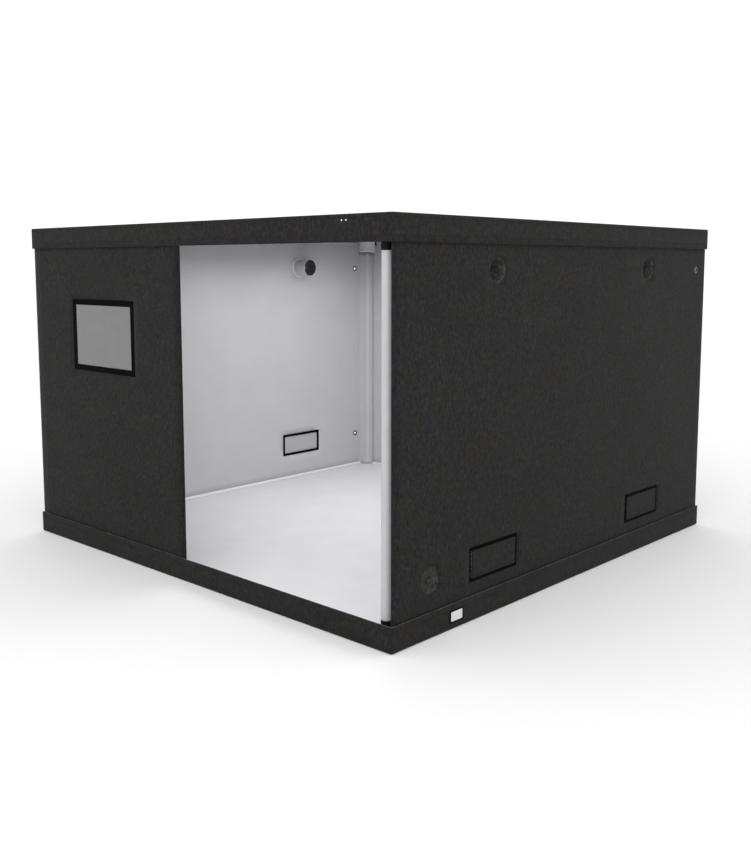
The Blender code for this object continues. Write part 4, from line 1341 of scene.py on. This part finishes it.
shape = bmesh.new()
cup_radius = PORT_RADIUS - 0.1 * MM
floor_depth = closed_depth - 2.6 * MM
gather_rings = [gathered_ring(cup_radius, 0, 0), gathered_ring(cup_radius - 0.2 * MM, 1.0 * MM, 0)]
for step in range(10):
    share = step / 9
    radius = (cup_radius - 1.0 * MM) * (1 - share) + 1.6 * MM * share
    swell = 1.2 * MM * math.sin(math.pi * (1 - share) ** 0.8)
    depth = floor_depth - 0.6 * MM + 1.0 * MM * math.sin(math.pi * share) * 0.5
    gather_rings.append(gathered_ring(radius, depth, swell * 0.8))
rows = loft(shape, list(reversed(gather_rings)))
shape.faces.new(list(reversed(rows[0])))
# The gathers take a lighter copy of the canvas: painted light in the recess.
gathered = piece("closed_sleeve_right_gathers", as_mesh("gathers", shape, 70),
                 (GATHERED_CANVAS_LIT, LINING, CANVAS_EDGE_HIGHLIGHT), replaces=[SHUT])
thicken(gathered, 0.6 * MM)
gathered.modifiers["Cloth"].use_even_offset = False
button = [(0.05 * MM, -0.9 * MM), (1.6 * MM, -0.8 * MM), (2.9 * MM, -0.3 * MM), (3.1 * MM, 0.2 * MM),
          (0.05 * MM, 0.2 * MM)]
button_place = closed_place @ Matrix.Translation((0, 0, floor_depth - 0.8 * MM))
closed_button = piece("closed_sleeve_right_button", turned_mesh("gather_button", button_place, button, 24),
                      (GATHERED_CANVAS_LIT,))
closed_ring = sewn_flange(SHUT, closed_place, WALL_THICKNESS)
print("shut sleeve with", PLEATS, "pleats")

# %% [markdown]
# ## Eyelets and snap studs
#
# A pressed eyelet is one turned shape: a lip rolled over each face of the cloth and a barrel between.

# %% Eyelets
EYELET_BORE = 4.25 * MM  # its radius


def lip(radius, hole, face, rise, parts=8):
    """Half of a rolled lip: a low dome from the outer edge over to the hole."""
    points = []
    for k in range(parts + 1):
        turn = math.pi * k / parts
        across = (radius + hole) / 2 + (radius - hole) / 2 * math.cos(turn)
        points.append((across, face + rise * math.sin(turn) ** 0.7))
    return points


for node in EYELETS:
    low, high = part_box(node)
    inward = (1, 0, 0) if "left" in node else (-1, 0, 0)
    place = Matrix.Translation(middle(node)) @ port_place(node, inward, middle(node)).to_3x3().to_4x4()
    outline = lip((high.z - low.z) / 2, EYELET_BORE, WALL_THICKNESS / 2 + 0.1 * MM, 0.9 * MM)
    outline += [(r, -h) for r, h in reversed(outline)]
    mesh = turned_mesh(node + "_ring", place, outline)
    piece(node + "_ring", mesh, (ENAMEL,), replaces=[node])

print(len(EYELETS), "eyelets with a hole of", round(2 * EYELET_BORE / MM, 1), "mm")

# %% Snap studs on the front of the roof's skirt
STUD_PLACES = (0.441, 0.451)
for i, x in enumerate(STUD_PLACES):
    place = Matrix.Translation((x, roof_low.y, roof_high.z - 10 * MM))
    place @= Matrix.Rotation(math.pi / 2, 4, "X")
    dome = [(0.05 * MM, 0.9 * MM), (0.9 * MM, 0.75 * MM), (1.5 * MM, 0.3 * MM), (1.6 * MM, -0.2 * MM),
            (0.05 * MM, -0.2 * MM)]
    piece(f"roof_skirt_stud_{i + 1}", turned_mesh("stud", place, dome, 20), (STUD,))
print(len(STUD_PLACES), "small studs")

# %% [markdown]
# ## Blank patch
#
# A plain white satin label with a stitched black edge, left blank.

# %% Patch
PATCH_EDGE = 3.2 * MM
patch_low, patch_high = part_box("blank_patch")
patch_width, patch_height = patch_high.y - patch_low.y, patch_high.z - patch_low.z
patch_corner = (patch_high.x, patch_low.y + PATCH_EDGE / 2, patch_low.z + PATCH_EDGE / 2)
patch_run = Run(patch_corner, (0, 1, 0), (0, 0, 1), patch_width - PATCH_EDGE, patch_height - PATCH_EDGE,
                lambda run, u, v: 0.15 * MM * math.sin(math.pi * u / run.width))
patch_run.us = lines(0, patch_run.width, step=3 * MM)
patch_run.vs = lines(0, patch_run.height, step=3 * MM)
patch = piece("blank_label", cloth_mesh("blank_label", [patch_run]), (LABEL,),
              replaces=["blank_patch"])
thicken(patch, 0.4 * MM)
shape = bmesh.new()
label_place = Matrix.Translation((base_high.x, *middle("blank_patch").yz))
bound_opening(shape, label_place, patch_width, patch_height,
              [(0, 0.1 * MM), (0.3 * MM, 0.8 * MM), (1.6 * MM, 1.2 * MM), (2.9 * MM, 1.1 * MM),
               (PATCH_EDGE, 0.9 * MM), (PATCH_EDGE, 0.1 * MM)])
patch_edge = piece("blank_label_edge", closed_mesh("label_edge", shape), (TAPE,))
print("patch", round(patch_width / MM), "x", round(patch_height / MM), "mm")

# %% [markdown]
# ## Door
#
# The door is built in its own frame: the hinge's axis is z, and x runs to the free edge.  Its direction
# is measured on its solid, because the door hangs folded back at a slight angle.  The cloth is sewn to
# a round piping at the hinge, and its other three edges are hemmed.

# %% The door's own frame
hinge = [j for j in frame["joints"] if j["name"] == "door_swing"][0]
axis = Vector(hinge["pos_m"])
door_points = [v.co for v in frame["nodes"]["door_panel"].data.vertices]
flat_reach = [(Vector((p.x - axis.x, p.y - axis.y)).length, p) for p in door_points]
half_way = (max(r for r, _ in flat_reach) + min(r for r, _ in flat_reach)) / 2


def mean_xy(points):
    return Vector((sum(p.x for p in points) / len(points), sum(p.y for p in points) / len(points), 0))


near_end = mean_xy([p for r, p in flat_reach if r < half_way])
far_end = mean_xy([p for r, p in flat_reach if r > half_way])
door_x = (far_end - near_end).normalized()
door_y = Vector((0, 0, 1)).cross(door_x)
door_place = Matrix.Translation((axis.x, axis.y, 0)) @ Matrix((
    (door_x.x, door_y.x, 0, 0), (door_x.y, door_y.y, 0, 0), (0, 0, 1, 0), (0, 0, 0, 1)))


def door_box(node):
    """A node's lowest and highest corner in the door's own frame."""
    back = door_place.inverted()
    points = [back @ v.co for v in frame["nodes"][node].data.vertices]
    return (Vector([min(p[i] for p in points) for i in range(3)]),
            Vector([max(p[i] for p in points) for i in range(3)]))


print("door's direction", tuple(round(c, 3) for c in door_x.xy))

# %% Door cloth
panel_low, panel_high = door_box("door_panel")
door_waves = ripple(71, 0.8 * MM, 0.22)
DOOR_HEM = 14 * MM
DOOR_HEM_RISE = 0.3 * MM


def door_soft(run, u, v):
    from_edge = min(run.width - u, v, run.height - v)
    hem = DOOR_HEM_RISE * eased((DOOR_HEM + HEM_SLOPE - from_edge) / HEM_SLOPE)
    return hem - DOOR_HEM_RISE + door_waves(u, v) * run.calm(u, v)


door_width, door_height = panel_high.x - panel_low.x, panel_high.z - panel_low.z
hem_marks = [DOOR_HEM, DOOR_HEM + HEM_SLOPE]
door_run = Run(door_place @ Vector((panel_low.x, panel_low.y, panel_low.z)), door_x, (0, 0, 1), door_width,
               door_height, door_soft, marks=([door_width - h for h in hem_marks],
                                              hem_marks + [door_height - h for h in hem_marks]))
door = piece("door_cloth", cloth_mesh("door_cloth", [door_run]), LAMINATE, "door", ["door_panel"])
thicken(door, panel_high.y - panel_low.y - DOOR_HEM_RISE)
for inset in (SEAM_INSET, 11 * MM):
    right, top = door_width - inset, door_height - inset
    run_seam(door_run, (inset, inset), (right, inset), "door")
    run_seam(door_run, (inset, top), (right, top), "door")
    run_seam(door_run, (right, inset), (right, top), "door")
run_seam(door_run, (5 * MM, 5 * MM), (5 * MM, door_height - 5 * MM), "door")
print("door", round(door_width, 3), "x", round(door_height, 3), "m, folded to",
      round(math.degrees(math.atan2(door_x.y, door_x.x)), 1), "degrees")

# %% Piping at the hinge
piping_low, piping_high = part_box("door_hinge_piping")
piping_size = piping_high - piping_low
piping_place = Matrix.Translation((*middle("door_hinge_piping").xy, piping_low.z))
PIPING_RINGS = round(piping_size.z / (6 * MM))
rings = []
for k in range(PIPING_RINGS + 1):
    share = k / PIPING_RINGS
    radius = piping_size.x / 2 * (0.98 + 0.02 * math.cos(share * 240))
    rings.append(ring_points(piping_place, radius, piping_size.z * share, 20))
shape = bmesh.new()
loft(shape, rings, closed_ends=True)
piece("door_piping", closed_mesh("door_piping", shape), (CANVAS,),
      replaces=["door_hinge_piping"])
print("piping of", PIPING_RINGS + 1, "rings")

# %% [markdown]
# ## Zip
#
# The zip runs up the door's free edge and up the jamb.  Each half is a woven tape with a nylon coil: a
# Geometry Nodes tree sets one flattened loop of wire every 1.5 mm along a line.

# %% Zip tapes and coils
COIL_PITCH = 1.5 * MM
COIL_WIDTH = 2.8 * MM
COIL_DEPTH = 1.1 * MM
COIL_WIRE = 0.3 * MM
COIL_END = 2 * MM  # the coil ends this far short of its tape


def coil_tree():
    sizes = dict.fromkeys(("Pitch", "Width", "Depth", "Wire", "Turn"), "Float")
    tree, given = new_tree("zip_coil", {**sizes, "Material": "Material"})
    path = add(tree, "GeometryNodeMeshToCurve", {"Mesh": given["Geometry"]})
    spaced = add(tree, "GeometryNodeResampleCurve", {"Curve": path, "Length": given["Pitch"]},
                 mode="LENGTH")
    ring = add(tree, "GeometryNodeCurvePrimitiveCircle", {"Resolution": 10, "Radius": 0.5})
    size = add(tree, "ShaderNodeCombineXYZ", {0: given["Width"], 1: given["Depth"], 2: 1.0})
    tilt = add(tree, "ShaderNodeCombineXYZ", {0: math.radians(9)})
    oval = add(tree, "GeometryNodeTransform", {"Geometry": ring, "Scale": size, "Rotation": tilt})
    wire = add(tree, "GeometryNodeCurvePrimitiveCircle", {"Resolution": 5, "Radius": given["Wire"]})
    loop = add(tree, "GeometryNodeCurveToMesh", {"Curve": oval, "Profile Curve": wire})
    angle = add(tree, "ShaderNodeCombineXYZ", {2: given["Turn"]})
    laid = add(tree, "GeometryNodeInstanceOnPoints",
               {"Points": spaced, "Instance": loop, "Rotation": angle})
    end_tree(tree, laid, given["Material"])
    return tree


COIL_TREE = coil_tree()


def coil(name, foot, top, turn, body, depth, wire):
    base_mesh = bpy.data.meshes.new(name)
    base_mesh.from_pydata([tuple(foot), tuple(top)], [(0, 1)], [])
    mesh = grown(name, base_mesh, COIL_TREE, {"Pitch": COIL_PITCH, "Width": COIL_WIDTH, "Depth": depth,
                                              "Wire": wire, "Turn": turn, "Material": COIL})
    mesh.shade_smooth()
    return piece(name, mesh, body=body)


def tape_strip(name, place, low, high, body, node):
    """A flat woven strip with rounded long edges; local x across it and z along it."""
    thick, wide = high.y - low.y, high.x - low.x
    half = [(0, 0.5), (0.02, 0.15), (0.08, 0), (0.92, 0), (0.98, 0.15)]
    outline = [(low.x + wide * s, low.y + thick * t) for s, t in half + [(1 - s, 1 - t) for s, t in half]]
    shape = bmesh.new()
    heights = lines(low.z, high.z, step=20 * MM)
    loft(shape, [[place @ Vector((x, y, z)) for x, y in outline] for z in heights], closed_ends=True)
    return piece(name, closed_mesh(name, shape), (TAPE,), body, [node])


print("coil pitch", round(COIL_PITCH / MM, 1), "mm")

# %% Fit the zip to the door and the jamb
tape_low, tape_high = door_box("door_zip_tape")
door_tape = tape_strip("door_zip_tape_woven", door_place, tape_low, tape_high, "door", "door_zip_tape")
coil_x = tape_high.x - COIL_WIDTH / 2 - COIL_WIRE - 0.1 * MM
coil_y = (tape_low.y + tape_high.y) / 2
door_turn = math.atan2(door_x.y, door_x.x)
coil_foot = door_place @ Vector((coil_x, coil_y, tape_low.z + COIL_END))
coil_top = door_place @ Vector((coil_x, coil_y, tape_high.z - COIL_END))
door_coil = coil("door_zip_coil", coil_foot, coil_top, door_turn, "door", COIL_DEPTH, COIL_WIRE)
jamb_low, jamb_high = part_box("jamb_zip_tape")
quarter = Matrix.Rotation(math.pi / 2, 4, "Z")
tape_strip("jamb_zip_tape_woven", quarter, Vector((jamb_low.y, -jamb_high.x, jamb_low.z)),
           Vector((jamb_high.y, -jamb_low.x, jamb_high.z)), BODY, "jamb_zip_tape")
jamb_x, jamb_y = jamb_low.x - 0.2 * MM, (jamb_low.y + jamb_high.y) / 2  # flat, to let the slider by
jamb_coil = coil("jamb_zip_coil", (jamb_x, jamb_y, jamb_low.z + COIL_END),
                 (jamb_x, jamb_y, jamb_high.z - COIL_END), math.pi / 2, BODY, 0.5 * MM, 0.2 * MM)
seam_x = tape_low.x + 1.5 * MM
seam([door_place @ Vector((seam_x, tape_low.y, z)) for z in (tape_low.z + 3 * MM, tape_high.z - 3 * MM)],
     door_place.to_3x3() @ Vector((0, -1, 0)), "door")
print("zip coils:", len(door_coil.data.polygons), len(jamb_coil.data.polygons), "faces")

# %% [markdown]
# ## Seams
#
# Every path that was remembered above is now sewn.

# %% Sew every seam
for item, faces in sew_all():
    print(item.name, faces, "faces")

# %% [markdown]
# ## Vent flaps
#
# Each vent flap's box is read again here, and nothing is made from it.  Skirts and hems are folded from the
# same sheet, so a cut is larger than the finished piece.

for side, flap in zip(VENTS, flaps):
    low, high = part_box("vent_flap_" + side)

# %% [markdown]
# ## Size
#
# Both boxes, the measured solids' and the finished model's, are printed. The finished model has to stay
# within a few millimetres of the measured solids.

# %% Print the size of both boxes
visual_low, visual_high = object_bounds()
sizes = {"cad": [list(CAD_BOX[0]), list(CAD_BOX[1])], "visual": [list(visual_low), list(visual_high)]}
for name, (low, high) in sizes.items():
    print(name, "size", [round(b - a, 4) for a, b in zip(low, high)])
